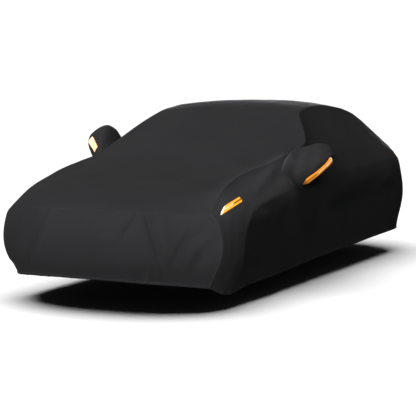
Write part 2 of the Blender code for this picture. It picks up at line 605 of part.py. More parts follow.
def pocket_skin(side, panel):
    """A pocket's outer skin, from its neck behind the panel's outer face out to its tip."""
    y, z = oval(NECK)
    reach = panel_reach(panel, side, y, z)
    loops = [(reach - NECK_INSIDE, y, z)]
    table = np.array(POCKET_RINGS[side])
    count = (len(table) - 1) * STEPS_PER_RING + 1
    for row in smooth(np.arange(len(table)), table, np.arange(count) / STEPS_PER_RING):
        ring = Ring(*row)
        y, z = oval(ring)
        loops.append((np.maximum(ring.out, panel_reach(panel, side, y, z) + RING_LIFT), y, z))
    points = [(side * x, y, z) for loop in loops for x, y, z in zip(*loop)]
    out, tip_y, tip_z = POCKET_TIPS[side]
    points.append((side * out, tip_y, tip_z))
    faces = []
    for level in range(len(loops) - 1):
        for k in range(RING_SIDES):
            a = level * RING_SIDES + k
            b = level * RING_SIDES + (k + 1) % RING_SIDES
            faces.append((a, b, b + RING_SIDES, a + RING_SIDES))
    last = (len(loops) - 1) * RING_SIDES
    for k in range(RING_SIDES):
        faces.append((last + k, last + (k + 1) % RING_SIDES, len(points) - 1))
    if side == RIGHT:
        faces = [face[::-1] for face in faces]
    return points, faces


def hole_cutter(side):
    """A prism through the side panel, a little wider than the pocket's neck."""
    y, z = oval(NECK, POCKET_HOLE_GAP)
    points = [(side * x, *at) for x in HOLE_CUT_FROM_TO for at in zip(y, z)]
    ring = range(RING_SIDES)
    walls = [
        (k, (k + 1) % RING_SIDES, (k + 1) % RING_SIDES + RING_SIDES, k + RING_SIDES) for k in ring
    ]
    return points, walls + [tuple(ring), tuple(k + RING_SIDES for k in ring)]


def strip_sheet(strip):
    """A flat sheet between a strip's two ends, to be wrapped onto the cloth."""
    start = np.array([strip.x1, strip.y1, strip.z1])
    run = np.array([strip.x2, strip.y2, strip.z2]) - start
    facing = np.array([strip.facing_x, strip.facing_y, strip.facing_z])
    across = unit(np.cross(facing, run)) * strip.width
    along = np.linspace(0, 1, STRIP_CELLS_ALONG + 1)[:, None, None]
    over = (np.linspace(0, 1, STRIP_CELLS_ACROSS + 1) - 0.5)[None, :, None]
    grid = start + along * run + over * (across + unit(run) * strip.slant)
    grid = grid + unit(facing) * STRIP_FROM_OUT
    return grid.reshape(-1, 3), facets(grid)


# ---------------------------------------------------------------- the scene

def add_modifier(obj, name, kind, **settings):
    modifier = obj.modifiers.new(name, kind)
    for setting, value in settings.items():
        setattr(modifier, setting, value)


def make_material(name, colour, roughness, metallic=0.0):
    material = bpy.data.materials.new(name)
    material.use_nodes = True
    shader = material.node_tree.nodes["Principled BSDF"]
    shader.inputs["Base Color"].default_value = (*colour, 1.0)
    shader.inputs["Roughness"].default_value = roughness
    shader.inputs["Metallic"].default_value = metallic
    material.diffuse_color = (*colour, 1.0)
    return material


def make_collection(name):
    collection = bpy.data.collections.new(name)
    bpy.context.scene.collection.children.link(collection)
    return collection


def main():
    for obj in list(bpy.data.objects):
        bpy.data.objects.remove(obj)
    cover = make_collection("car_cover")
    helpers = make_collection("helpers")
    cloth = make_material("black_stretch_cloth", CLOTH_COLOUR, 0.8)
    pocket_cloth = make_material("black_pocket_cloth", CLOTH_COLOUR, 0.75)
    tape = make_material("orange_reflective_tape", TAPE_COLOUR, 0.45)

    outer, normals = cover_surface(STEPS_PER_SECTION, TOP_COLUMNS, FRONT_SPLIT, SIDE_LINES)
    made = {}
    for name, grid in outer.items():
        points, faces = panel_shell(grid, normals[name], SEAMS[name])
        made[name] = add_object(name, points, faces, cloth, cover)

    for side, word in ((LEFT, "left"), (RIGHT, "right")):
        panel = word + "_panel"
        pocket = word + "_mirror_pocket"
        made[pocket] = add_object(pocket, *pocket_skin(side, outer[panel]), pocket_cloth, cover)
        add_modifier(made[pocket], "cloth", "SOLIDIFY", thickness=POCKET_CLOTH, offset=-1.0)
        cutter = add_helper(word + "_pocket_hole", *hole_cutter(side), cloth, helpers)
        add_modifier(
            made[panel], "pocket_hole", "BOOLEAN", operation="DIFFERENCE", solver="EXACT",
            object=cutter,
        )

    made["cloth_face"] = add_helper("cloth_face", *joined_facets(outer), cloth, helpers)
    for strip in STRIPS:
        made[strip.name] = add_object(strip.name, *strip_sheet(strip), tape, cover)
        add_modifier(
            made[strip.name], "lie_on_cloth", "SHRINKWRAP", target=made[strip.on],
            wrap_method="NEAREST_SURFACEPOINT", wrap_mode="OUTSIDE_SURFACE", offset=strip.lift,
        )
        add_modifier(
            made[strip.name], "tape", "SOLIDIFY", thickness=STRIP_THICKNESS, offset=1.0,
        )


if __name__ == "__main__":
    main()
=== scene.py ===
"""A fitted car cover of dark stretch cloth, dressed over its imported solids.

Metres, +Z up, in the frame of the solids. The tables give places along the car from midway
between its axles and heights above the ground, and ROOF_REST is taken off them all. Each panel
is a fine sheet on its solid's folds, with its seams, stitches and elastic hem as pieces on it.
"""

import math
from collections import namedtuple

import bpy
import numpy as np
from mathutils import Matrix, Vector
from mathutils.bvhtree import BVHTree


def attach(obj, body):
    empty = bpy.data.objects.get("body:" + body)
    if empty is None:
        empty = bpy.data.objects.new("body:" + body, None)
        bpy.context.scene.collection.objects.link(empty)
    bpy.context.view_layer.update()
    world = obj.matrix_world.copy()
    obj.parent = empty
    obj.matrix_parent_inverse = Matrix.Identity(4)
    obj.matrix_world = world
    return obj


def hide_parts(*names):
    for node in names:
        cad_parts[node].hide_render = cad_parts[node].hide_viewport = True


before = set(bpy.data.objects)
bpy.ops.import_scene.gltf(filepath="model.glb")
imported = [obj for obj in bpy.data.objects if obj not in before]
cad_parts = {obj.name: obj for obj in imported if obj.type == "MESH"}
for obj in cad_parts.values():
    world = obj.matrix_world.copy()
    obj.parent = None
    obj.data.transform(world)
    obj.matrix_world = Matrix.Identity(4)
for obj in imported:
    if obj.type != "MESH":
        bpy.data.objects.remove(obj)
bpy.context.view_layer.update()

ROOF_REST = (0.0, 0.50, 1.433)
GROUND_Z = -ROOF_REST[2]
LEFT, RIGHT = 1, -1
SIDE_OF = {"left_panel": LEFT, "right_panel": RIGHT}

# ---------------------------------------------------------------- the shape over the car

# One row for each section across the car. y is where the section meets the rail, the line of
# the seam between the top panel and a side panel. ahead is how far its middle lies towards
# the front of that. From the rail the side runs out to the belt under the windows, down over
# the waist, which is the widest place, and in to the hem. lean carries the hem along the car.
Section = namedtuple(
    "Section",
    "y ahead crown_z rail_x rail_z belt_x belt_z waist_x hem_x hem_z lean",
)
SECTIONS = [Section(*row) for row in (
    (-1.93, 0.36, 0.740, 0.822, 0.718, 0.882, 0.640, 0.910, 0.822, 0.196, 0.00),
    (-1.75, 0.42, 0.800, 0.795, 0.822, 0.891, 0.668, 0.916, 0.850, 0.165, 0.00),
    (-1.45, 0.40, 0.870, 0.768, 0.918, 0.901, 0.712, 0.919, 0.880, 0.155, 0.00),
    (-1.05, 0.36, 0.925, 0.775, 0.980, 0.908, 0.766, 0.920, 0.894, 0.160, 0.00),
    (-0.75, 0.32, 0.985, 0.792, 1.014, 0.911, 0.788, 0.921, 0.895, 0.168, 0.00),
    (-0.45, 0.28, 1.110, 0.820, 1.080, 0.913, 0.808, 0.921, 0.895, 0.177, 0.00),
    (-0.21, 0.24, 1.220, 0.833, 1.142, 0.914, 0.820, 0.921, 0.895, 0.184, 0.00),
    (-0.06, 0.20, 1.290, 0.750, 1.240, 0.914, 0.829, 0.921, 0.895, 0.189, 0.00),
    (0.09, 0.16, 1.358, 0.652, 1.336, 0.914, 0.837, 0.921, 0.895, 0.193, 0.00),
    (0.32, 0.10, 1.416, 0.612, 1.382, 0.913, 0.848, 0.921, 0.895, 0.200, 0.00),
    (0.65, 0.03, 1.436, 0.600, 1.394, 0.912, 0.862, 0.921, 0.895, 0.208, 0.00),
    (0.95, -0.02, 1.424, 0.600, 1.380, 0.911, 0.872, 0.921, 0.895, 0.213, 0.00),
    (1.25, -0.06, 1.390, 0.600, 1.340, 0.908, 0.881, 0.921, 0.895, 0.217, 0.00),
    (1.50, -0.12, 1.330, 0.618, 1.275, 0.904, 0.884, 0.919, 0.895, 0.220, 0.00),
    (1.70, -0.18, 1.240, 0.655, 1.182, 0.892, 0.882, 0.915, 0.892, 0.222, 0.00),
    (1.90, -0.24, 1.130, 0.712, 1.060, 0.871, 0.872, 0.905, 0.880, 0.222, -0.02),
    (2.05, -0.28, 1.045, 0.760, 0.960, 0.847, 0.850, 0.891, 0.860, 0.222, -0.08),
    (2.14, -0.30, 1.000, 0.775, 0.895, 0.824, 0.812, 0.877, 0.838, 0.222, -0.14),
)]

# The middle of the front and of the rear panel, from the panel's top seam down to its hem.
# Each row is the share of the way down, how far the panel's middle lies along the car, its
# height, and how boxy the panel is, seen from above.
FRONT_ROWS = (
    (0.00, -2.290, 0.740, 2.6),
    (0.15, -2.330, 0.665, 2.7),
    (0.45, -2.355, 0.530, 2.8),
    (0.70, -2.335, 0.390, 2.8),
    (1.00, -2.245, 0.246, 2.8),
)
REAR_ROWS = (
    (0.00, 2.440, 1.000, 2.6),
    (0.20, 2.490, 0.860, 2.8),
    (0.50, 2.500, 0.620, 3.0),
    (0.80, 2.440, 0.400, 3.0),
    (1.00, 2.340, 0.250, 3.0),
)

BOW_SQUARE = 2.6            # how boxy a section is, seen from above
CROWN_SQUARE = 2.4          # and seen from the front
SIDE_STOPS = (0.0, 0.30, 0.62, 1.0)      # rail, belt, waist and hem, as shares of the side
WAIST_RISE = 0.03           # the waist's height over the middle between belt and hem

# Which way the cross product of a grid's two directions faces, to turn it outwards.
FACING = {"top_panel": -1, "left_panel": -1, "right_panel": 1, "front_panel": 1, "rear_panel": -1}

# Soft ridges, and troughs where a rise is under nought. Each crease runs through its places, and
# their numbers are x, y, z, width and rise. width is the distance at which it has died down to a
# third. From far_valley on they are sharp little creases in the front cloth, finer than the
# solids carry, and near_roll rolls the hem's left front corner in.
CREASES = {
    "front_edge": (
        (-0.44, -2.22, 0.74, 0.035, 0.002), (-0.25, -2.27, 0.746, 0.035, 0.006),
        (0.05, -2.29, 0.748, 0.035, 0.005), (0.35, -2.25, 0.741, 0.035, 0.007),
        (0.62, -2.12, 0.727, 0.035, 0.007), (0.8, -1.97, 0.708, 0.035, 0.004),
    ),
    "front_left_trough": (
        (-0.31, -2.26, 0.74, 0.035, -0.002), (-0.36, -2.3, 0.64, 0.042, -0.009),
        (-0.43, -2.3, 0.48, 0.048, -0.012), (-0.51, -2.19, 0.27, 0.045, -0.007),
    ),
    "front_left_ridge": (
        (-0.22, -2.29, 0.72, 0.04, 0.002), (-0.3, -2.34, 0.55, 0.045, 0.006),
        (-0.4, -2.26, 0.32, 0.045, 0.003),
    ),
    "far_corner_hollow": ((-0.57, -2.22, 0.62, 0.1, -0.011), (-0.48, -2.28, 0.59, 0.09, -0.012)),
    "front_short_trough": (
        (0.43, -2.24, 0.72, 0.03, -0.003), (0.37, -2.31, 0.63, 0.036, -0.008),
        (0.28, -2.34, 0.53, 0.04, -0.003),
    ),
    "front_mid_trough": (
        (0.49, -2.21, 0.72, 0.032, -0.004), (0.52, -2.25, 0.62, 0.035, -0.011),
        (0.56, -2.25, 0.5, 0.036, -0.01), (0.59, -2.22, 0.42, 0.04, -0.003),
    ),
    "front_mid_ridge": (
        (0.56, -2.18, 0.7, 0.035, 0.002), (0.6, -2.22, 0.58, 0.036, 0.007),
        (0.64, -2.2, 0.46, 0.04, 0.003),
    ),
    "near_corner_trough": (
        (0.81, -2.01, 0.65, 0.035, -0.003), (0.75, -2.1, 0.55, 0.036, -0.008),
        (0.65, -2.18, 0.4, 0.04, -0.004),
    ),
    "near_corner_ridge": (
        (0.87, -1.96, 0.6, 0.032, 0.002), (0.81, -2.05, 0.51, 0.034, 0.005),
        (0.73, -2.11, 0.39, 0.036, 0.002),
    ),
    "near_lamp_hollow": ((0.81, -2.05, 0.47, 0.055, -0.008), (0.8, -2.05, 0.41, 0.055, -0.009)),
    "bumper_line": (
        (-0.28, -2.34, 0.55, 0.045, 0.002), (0, -2.35, 0.55, 0.045, 0.006),
        (0.2, -2.35, 0.55, 0.045, 0.005), (0.4, -2.31, 0.56, 0.045, 0.002),
    ),
    "hem_ripple_one": ((0.3, -2.32, 0.4, 0.035, 0.001), (0.33, -2.23, 0.26, 0.032, 0.006)),
    "hem_ripple_two": ((0.47, -2.27, 0.38, 0.035, -0.001), (0.5, -2.19, 0.26, 0.03, -0.007)),
    "hem_ripple_three": ((-0.12, -2.34, 0.4, 0.045, 0.001), (-0.14, -2.25, 0.26, 0.04, 0.005)),
    "left_corner_ridge": (
        (0.87, -1.9, 0.68, 0.035, 0.003), (0.91, -1.91, 0.5, 0.04, 0.004),
        (0.88, -1.9, 0.3, 0.04, 0.003),
    ),
    "left_corner_trough": (
        (0.9, -1.7, 0.68, 0.05, -0.001), (0.92, -1.72, 0.52, 0.055, -0.005),
        (0.91, -1.76, 0.36, 0.055, -0.004), (0.88, -1.8, 0.24, 0.05, -0.002),
    ),
    "left_edge_ridge": (
        (0.92, -1.56, 0.52, 0.045, 0.002), (0.92, -1.58, 0.42, 0.05, 0.007),
        (0.9, -1.57, 0.3, 0.05, 0.004),
    ),
    "left_belt_edge": (
        (0.92, -1.57, 0.5, 0.032, 0.002), (0.92, -1.53, 0.59, 0.03, 0.005),
        (0.91, -1.42, 0.695, 0.03, 0.006), (0.91, -1.25, 0.737, 0.028, 0.006),
        (0.91, -1.03, 0.762, 0.028, 0.005), (0.91, -0.76, 0.783, 0.028, 0.002),
    ),
    "left_belt_edge_behind": (
        (0.91, 0, 0.834, 0.028, 0.001), (0.91, 0.4, 0.853, 0.028, 0.005),
        (0.91, 0.95, 0.872, 0.028, 0.005), (0.9, 1.5, 0.884, 0.03, 0.004),
        (0.88, 1.76, 0.88, 0.03, 0.001),
    ),
    "left_tension_ridge": (
        (0.81, -0.62, 1.03, 0.035, 0.003), (0.82, -0.9, 0.94, 0.04, 0.008),
        (0.87, -1.28, 0.83, 0.045, 0.003),
    ),
    "left_tension_trough": (
        (0.86, -0.55, 0.95, 0.04, -0.002), (0.87, -0.85, 0.87, 0.045, -0.007),
        (0.88, -1.15, 0.8, 0.045, -0.002),
    ),
    "left_front_arch": (
        (0.92, -1.58, 0.56, 0.055, 0.002), (0.91, -1.5, 0.63, 0.055, 0.005),
        (0.91, -1.3, 0.66, 0.055, 0.006), (0.92, -1.06, 0.57, 0.055, 0.002),
    ),
    "left_rear_arch": (
        (0.92, 1.18, 0.62, 0.05, 0.003), (0.92, 1.34, 0.7, 0.05, 0.008),
        (0.91, 1.56, 0.725, 0.05, 0.008), (0.91, 1.76, 0.67, 0.05, 0.007),
        (0.91, 1.88, 0.56, 0.05, 0.003),
    ),
    "left_door_slack": (
        (0.92, 0.1, 0.62, 0.09, 0.001), (0.93, 0.5, 0.58, 0.1, -0.006),
        (0.92, 0.95, 0.6, 0.09, -0.002),
    ),
    "right_corner_ridge": (
        (-0.89, -1.88, 0.66, 0.035, 0.003), (-0.92, -1.89, 0.5, 0.035, 0.006),
        (-0.88, -1.9, 0.32, 0.035, 0.003),
    ),
    "right_corner_trough": (
        (-0.91, -1.64, 0.66, 0.05, -0.002), (-0.92, -1.68, 0.48, 0.06, -0.01),
        (-0.89, -1.74, 0.3, 0.055, -0.003),
    ),
    "right_belt_edge": (
        (-0.92, -1.57, 0.52, 0.032, 0.002), (-0.91, -1.45, 0.67, 0.03, 0.006),
        (-0.91, -1.2, 0.745, 0.028, 0.005), (-0.91, -0.74, 0.784, 0.028, 0.002),
    ),
    "right_belt_edge_behind": (
        (-0.91, 0.02, 0.835, 0.028, 0.001), (-0.91, 0.45, 0.855, 0.028, 0.004),
        (-0.91, 1.1, 0.877, 0.028, 0.005), (-0.88, 1.74, 0.88, 0.03, 0.001),
    ),
    "right_tension_ridge": (
        (-0.81, -0.6, 1.04, 0.04, 0.003), (-0.81, -0.95, 0.95, 0.045, 0.007),
        (-0.86, -1.3, 0.85, 0.045, 0.002),
    ),
    "right_front_arch": (
        (-0.92, -1.56, 0.55, 0.055, 0.002), (-0.91, -1.46, 0.64, 0.055, 0.006),
        (-0.91, -1.26, 0.66, 0.055, 0.005), (-0.92, -1.04, 0.56, 0.055, 0.002),
    ),
    "right_rear_arch": (
        (-0.92, 1.2, 0.61, 0.05, 0.002), (-0.92, 1.36, 0.69, 0.05, 0.006),
        (-0.91, 1.54, 0.72, 0.05, 0.007), (-0.91, 1.76, 0.66, 0.05, 0.006),
        (-0.91, 1.86, 0.56, 0.05, 0.002),
    ),
    "right_door_slack": (
        (-0.92, 0.3, 0.6, 0.1, -0.004), (-0.93, 0.7, 0.56, 0.09, -0.006),
        (-0.92, 1, 0.6, 0.09, -0.002),
    ),
    "screen_foot": (
        (-0.66, -0.98, 0.984, 0.07, -0.001), (-0.36, -1.22, 0.953, 0.08, -0.003),
        (0, -1.3, 0.941, 0.08, -0.002), (0.36, -1.22, 0.953, 0.08, -0.003),
        (0.66, -0.98, 0.984, 0.07, -0.001),
    ),
    "hood_slack": (
        (-0.52, -1.62, 0.9, 0.07, 0.001), (-0.28, -1.82, 0.873, 0.08, 0.005),
        (0.05, -1.95, 0.853, 0.08, 0.002),
    ),
    "roof_slack": (
        (-0.25, 0.95, 1.419, 0.12, 0.001), (-0.1, 1.25, 1.398, 0.12, -0.004),
        (0.12, 1.5, 1.356, 0.12, -0.001),
    ),
    "rear_left_trough": (
        (0.28, 2.44, 0.95, 0.045, -0.003), (0.33, 2.48, 0.72, 0.05, -0.009),
        (0.38, 2.43, 0.45, 0.05, -0.003),
    ),
    "rear_right_trough": (
        (-0.36, 2.42, 0.93, 0.045, -0.003), (-0.44, 2.45, 0.66, 0.05, -0.008),
        (-0.47, 2.39, 0.42, 0.05, -0.003),
    ),
    "rear_edge": (
        (-0.62, 2.34, 0.8, 0.05, 0.002), (-0.1, 2.49, 0.84, 0.05, 0.006),
        (0.5, 2.41, 0.81, 0.05, 0.003),
    ),
    "rear_plate_hollow": ((-0.16, 2.49, 0.6, 0.07, -0.006), (0.2, 2.49, 0.6, 0.07, -0.007)),
    "far_valley": (
        (-0.309, -2.268, 0.728, 0.014, -0.0019), (-0.342, -2.299, 0.643, 0.014, -0.0076),
        (-0.395, -2.297, 0.568, 0.014, -0.0095), (-0.447, -2.282, 0.484, 0.015, -0.0076),
        (-0.486, -2.262, 0.414, 0.015, -0.0057), (-0.597, -2.145, 0.276, 0.014, -0.0038),
    ),
    "far_valley_side": (
        (-0.285, -2.28, 0.728, 0.015, 0.0019), (-0.318, -2.305, 0.643, 0.015, 0.0057),
        (-0.368, -2.305, 0.568, 0.015, 0.0076), (-0.418, -2.29, 0.484, 0.015, 0.0038),
    ),
    "short_valley": (
        (0.392, -2.25, 0.723, 0.012, -0.0015), (0.369, -2.288, 0.656, 0.012, -0.006),
        (0.343, -2.314, 0.601, 0.012, -0.006), (0.324, -2.33, 0.546, 0.012, -0.0015),
    ),
    "mid_valley": (
        (0.453, -2.222, 0.727, 0.012, -0.003), (0.486, -2.241, 0.664, 0.012, -0.0075),
        (0.513, -2.249, 0.596, 0.013, -0.0075), (0.542, -2.244, 0.513, 0.013, -0.006),
        (0.56, -2.235, 0.429, 0.013, -0.0045), (0.562, -2.224, 0.386, 0.012, -0.0015),
    ),
    "near_valley": (
        (0.739, -2.094, 0.619, 0.014, -0.0015), (0.711, -2.133, 0.552, 0.014, -0.0045),
        (0.68, -2.163, 0.483, 0.014, -0.0045), (0.645, -2.172, 0.391, 0.014, -0.0015),
    ),
    "far_hem_fold": (
        (-0.39, -2.307, 0.439, 0.014, 0.0014), (-0.44, -2.26, 0.36, 0.014, 0.0056),
        (-0.484, -2.2, 0.29, 0.013, 0.0042),
    ),
    "far_hem_dip": ((-0.352, -2.314, 0.406, 0.013, -0.0014), (-0.404, -2.233, 0.284, 0.013, -0.0042)),
    "mid_hem_fold": ((0.505, -2.25, 0.378, 0.014, 0.0014), (0.452, -2.195, 0.248, 0.013, 0.0042)),
    "mid_hem_dip": ((0.568, -2.221, 0.385, 0.014, -0.0014), (0.557, -2.154, 0.249, 0.013, -0.0042)),
    "lamp_dip": ((0.8, -2.04, 0.4, 0.045, -0.0056), (0.785, -2.045, 0.37, 0.045, -0.0056)),
    "near_roll": ((0.84, -1.96, 0.2, 0.17, -0.016), (0.7, -2.1, 0.2, 0.15, -0.01)),
}

# Where a side's hem hangs lower, or higher where drop is under nought.
HemDip = namedtuple("HemDip", "side y reach drop")
HEM_DIPS = (
    HemDip(LEFT, -1.72, 0.20, 0.045),
    HemDip(LEFT, -0.20, 0.16, -0.006),
    HemDip(LEFT, 0.75, 0.18, 0.005),
    HemDip(RIGHT, -1.55, 0.25, 0.008),
    HemDip(RIGHT, 0.35, 0.20, 0.006),
)

# A pocket's neck is an oval hole in the side panel, and each ring further out is an oval too.
# out is the ring's distance from the car's middle, and the next four are the oval's reach. push
# moves its bottom forward and its top back. Where a ring's out lies inside the panel, the ring
# lies on the panel instead.
Ring = namedtuple("Ring", "out low high front back push")
NECK = Ring(0.0, 0.812, 1.085, -0.455, -0.130, 0.0)
POCKET_RINGS = {
    LEFT: (
        (0.840, 0.812, 1.085, -0.455, -0.130, 0.000),
        (0.840, 0.790, 1.098, -0.705, -0.108, 0.050),
        (0.900, 0.795, 1.112, -0.605, -0.097, 0.080),
        (0.950, 0.812, 1.130, -0.552, -0.102, 0.100),
        (0.995, 0.858, 1.122, -0.504, -0.110, 0.105),
        (1.040, 0.906, 1.092, -0.466, -0.145, 0.090),
        (1.074, 0.955, 1.056, -0.418, -0.190, 0.050),
    ),
    RIGHT: (
        (0.840, 0.812, 1.085, -0.455, -0.130, 0.000),
        (0.840, 0.790, 1.098, -0.620, -0.108, 0.040),
        (0.895, 0.815, 1.195, -0.555, -0.095, 0.040),
        (0.940, 0.850, 1.230, -0.500, -0.085, 0.030),
        (0.980, 0.885, 1.232, -0.460, -0.080, 0.020),
        (1.020, 0.930, 1.215, -0.435, -0.082, 0.010),
        (1.060, 0.990, 1.184, -0.400, -0.105, 0.000),
        (1.088, 1.045, 1.140, -0.340, -0.150, 0.000),
    ),
}
POCKET_TIPS = {LEFT: (1.092, -0.310, 1.010), RIGHT: (1.100, -0.250, 1.095)}

EVEN_SHARE = 0.6            # how far a panel's columns are spaced evenly, not by angle
POCKET_HOLE_EDGE = 0.0008   # how far the cloth stands back from a pocket's neck


def smooth(stops, values, at):
    """Values between the stops of a table, along a smooth curve through them, column by column."""
    stops = np.asarray(stops, float)
    values = np.asarray(values, float).reshape(len(stops), -1)
    step = np.diff(stops)[:, None]
    slope = np.diff(values, axis=0) / step
    inner = (step[1:] * slope[:-1] + step[:-1] * slope[1:]) / (step[:-1] + step[1:])
    tangent = np.vstack([slope[:1], inner, slope[-1:]])
    at = np.asarray(at, float)
    piece = np.clip(np.searchsorted(stops, at, side="right") - 1, 0, len(step) - 1)
    width = step[piece]
    u = ((at - stops[piece]) / width[:, 0])[:, None]
    return (
        (2 * u**3 - 3 * u**2 + 1) * values[piece]
        + (u**3 - 2 * u**2 + u) * width * tangent[piece]
        + (3 * u**2 - 2 * u**3) * values[piece + 1]
        + (u**3 - u**2) * width * tangent[piece + 1]
    )


def columns_across(count):
    """Places across a panel, from -1 at the right rail to 1 at the left one."""
    even = np.linspace(-1, 1, count + 1)
    return EVEN_SHARE * even + (1 - EVEN_SHARE) * np.sin(even * math.pi / 2)


def sections_at(places):
    table = np.array(SECTIONS)
    return Section(*smooth(table[:, 0], table, places).T)


# ---------------------------------------------------------------- the smooth surfaces

def top_grid(sections, across):
    """Points of the top panel, section by section, from the right rail to the left one."""
    s = Section(*[column[:, None] for column in sections])
    x = s.rail_x * across
    y = s.y - s.ahead * (1 - abs(across) ** BOW_SQUARE)
    z = s.crown_z - (s.crown_z - s.rail_z) * abs(across) ** CROWN_SQUARE
    return np.stack(np.broadcast_arrays(x, y, z), axis=-1)


def hem_height(sections, side):
    height = sections.hem_z.copy()
    for dip in HEM_DIPS:
        if dip.side == side:
            height -= dip.drop * np.exp(-(((sections.y - dip.y) / dip.reach) ** 2))
    return height


def side_grid(sections, down, side):
    """Points of a side panel, section by section, from the rail to the hem."""
    hem_z = hem_height(sections, side)
    waist_z = (sections.belt_z + hem_z) / 2 + WAIST_RISE
    reach = (sections.rail_x, sections.belt_x, sections.waist_x, sections.hem_x)
    height = (sections.rail_z, sections.belt_z, waist_z, hem_z)
    x = smooth(SIDE_STOPS, reach, down)
    z = smooth(SIDE_STOPS, height, down)
    y = sections.y + sections.lean * down[:, None] ** 3
    return np.stack([side * x, y, z], axis=-1).transpose(1, 0, 2)


def end_grid(rows, left_edge, right_edge, across, down):
    """Points of the front or rear panel, row by row from its top seam to its hem."""
    table = np.array(rows)
    _, middle_y, middle_z, square = smooth(table[:, 0], table, down).T[:, :, None]
    edge = np.where(across[None, :, None] > 0, left_edge[:, None, :], right_edge[:, None, :])
    t = abs(across)[None, :]
    x = abs(edge[..., 0]) * across
    y = middle_y + (edge[..., 1] - middle_y) * t**square
    z = middle_z + (edge[..., 2] - middle_z) * t**CROWN_SQUARE
    return np.stack([x, y, z], axis=-1)


def unit(vectors):
    return vectors / np.linalg.norm(vectors, axis=-1, keepdims=True)


def outward_normals(grid, way):
    return unit(way * np.cross(np.gradient(grid, axis=0), np.gradient(grid, axis=1)))


def crease_rise(points):
    """How far the creases lift each point out of the smooth surface."""
    rise = np.zeros(points.shape[:-1])
    for rows in CREASES.values():
        rows = np.array(rows)
        nearest = np.full(points.shape[:-1], np.inf)
        lift = np.zeros(points.shape[:-1])
        for start, end in zip(rows, rows[1:]):
            run = end[:3] - start[:3]
            share = np.clip((points - start[:3]) @ run / (run @ run), 0, 1)
            away = np.linalg.norm(points - start[:3] - share[..., None] * run, axis=-1)
            width = start[3] + share * (end[3] - start[3])
            height = start[4] + share * (end[4] - start[4])
            closer = away < nearest
            lift[closer] = (height * np.exp(-((away / width) ** 2)))[closer]
            nearest[closer] = away[closer]
        rise += lift
    return rise


# ---------------------------------------------------------------- fine surfaces

PLACES_ALONG = 360
COLUMNS = 112
DOWN_LINES = 78
DOWN_EVEN = 0.55            # how far the lines down a panel are spaced evenly
DOWN_CLOSER = 0.45          # and how far closer at both ends
FRONT_FINER = 3             # the front panel's columns for each column of the top panel
TUCK_WAY = np.array([0.040, 0.022, 0.018])   # how the hem's right front corner is drawn in
TUCK_REACH = 0.075          # the distance at which that has died down to a third
CLOTH = 0.0014              # the thickness a sheet is drawn with, inwards from its outer face

# For each panel with a hem: the grid's direction down to it, the one along it, and a seed.
HEM_AXES = {
    "left_panel": (1, 0, 0.6),
    "right_panel": (1, 0, 2.9),
    "front_panel": (0, 1, 4.3),
    "rear_panel": (0, 1, 1.8),
}

# Long soft waves in the slack of the cloth.
Wave = namedtuple("Wave", "dx dy dz height phase")
WAVES = (
    Wave(4.1, 9.3, 3.2, 0.0011, 0.4),
    Wave(-7.7, 5.9, 6.1, 0.0009, 2.1),
    Wave(12.9, -8.3, 10.7, 0.0006, 4.4),
    Wave(-15.1, -19.7, 14.3, 0.0004, 1.3),
    Wave(23.0, 27.0, -19.0, 0.0003, 5.2),
)

# The gathers over the elastic: how many radians a metre, how strong, and their share of the seed.
GATHERS = ((71.0, 1.0, 1.0), (43.0, 0.7, 1.7), (118.0, 0.5, 0.3))
GATHER_HEIGHT = 0.0012
GATHER_REACH = 0.065


def slack_rise(points):
    rise = np.zeros(points.shape[:-1])
    for wave in WAVES:
        angle = points @ np.array(wave[:3]) + wave.phase
        rise += wave.height * np.sin(angle + 0.7 * np.sin(angle * 0.37 + wave.phase))
    return rise


def hem_gather(along, above, seed):
    """Small gathers that the elastic draws into the cloth, dying away above the hem."""
    wander = along + 0.03 * np.sin(along * 5.1 + seed) + 0.015 * np.sin(along * 17.0 + 2 * seed)
    gather = sum(share * np.sin(wander * pitch + turn * seed) for pitch, share, turn in GATHERS)
    where = 0.55 + 0.45 * np.sin(along * 3.7 + 1.3 * seed)
    return gather * where * GATHER_HEIGHT * np.exp(-((above / GATHER_REACH) ** 1.3))


def run_length(grid, axis):
    """How far each point lies along the grid's rows or columns, from the first."""
    step = np.linalg.norm(np.diff(grid, axis=axis), axis=-1)
    start = np.zeros_like(np.take(step, [0], axis=axis))
    return np.concatenate([start, np.cumsum(step, axis=axis)], axis=axis)


def share_seam_normals(grids, normals):
    """Gives the points that two panels share along a seam one normal between them."""
    total = {}
    borders = {}
    for name, grid in grids.items():
        border = np.zeros(grid.shape[:2], bool)
        border[[0, -1], :] = True
        border[:, [0, -1]] = True
        keys = [tuple(key) for key in np.round(grid[border], 5) + 0.0]
        borders[name] = (border, keys)
        for key, normal in zip(keys, normals[name][border]):
            total[key] = total.get(key, 0) + normal
    for name, (border, keys) in borders.items():
        normals[name][border] = unit(np.array([total[key] for key in keys]))


def level_between(row, step):
    """Lays the points that only a finer grid has on the straight line between the others."""
    for k in range(1, step):
        row[k::step] = row[:-1:step] + (row[step::step] - row[:-1:step]) * k / step


def down_lines(count):
    """Shares of the way from a top seam to the hem, closer together near both."""
    even = np.linspace(0, 1, count)
    return DOWN_EVEN * even + DOWN_CLOSER * (1 - np.cos(even * math.pi)) / 2


def tuck_corner(grids):
    """Draws the hem's right front corner in, as the elastic does, on both panels that meet there."""
    corner = grids["front_panel"][-1, 0].copy()
    for name in ("front_panel", "right_panel"):
        away = np.linalg.norm(grids[name] - corner, axis=-1, keepdims=True)
        grids[name] = grids[name] + TUCK_WAY * np.exp(-((away / TUCK_REACH) ** 2))


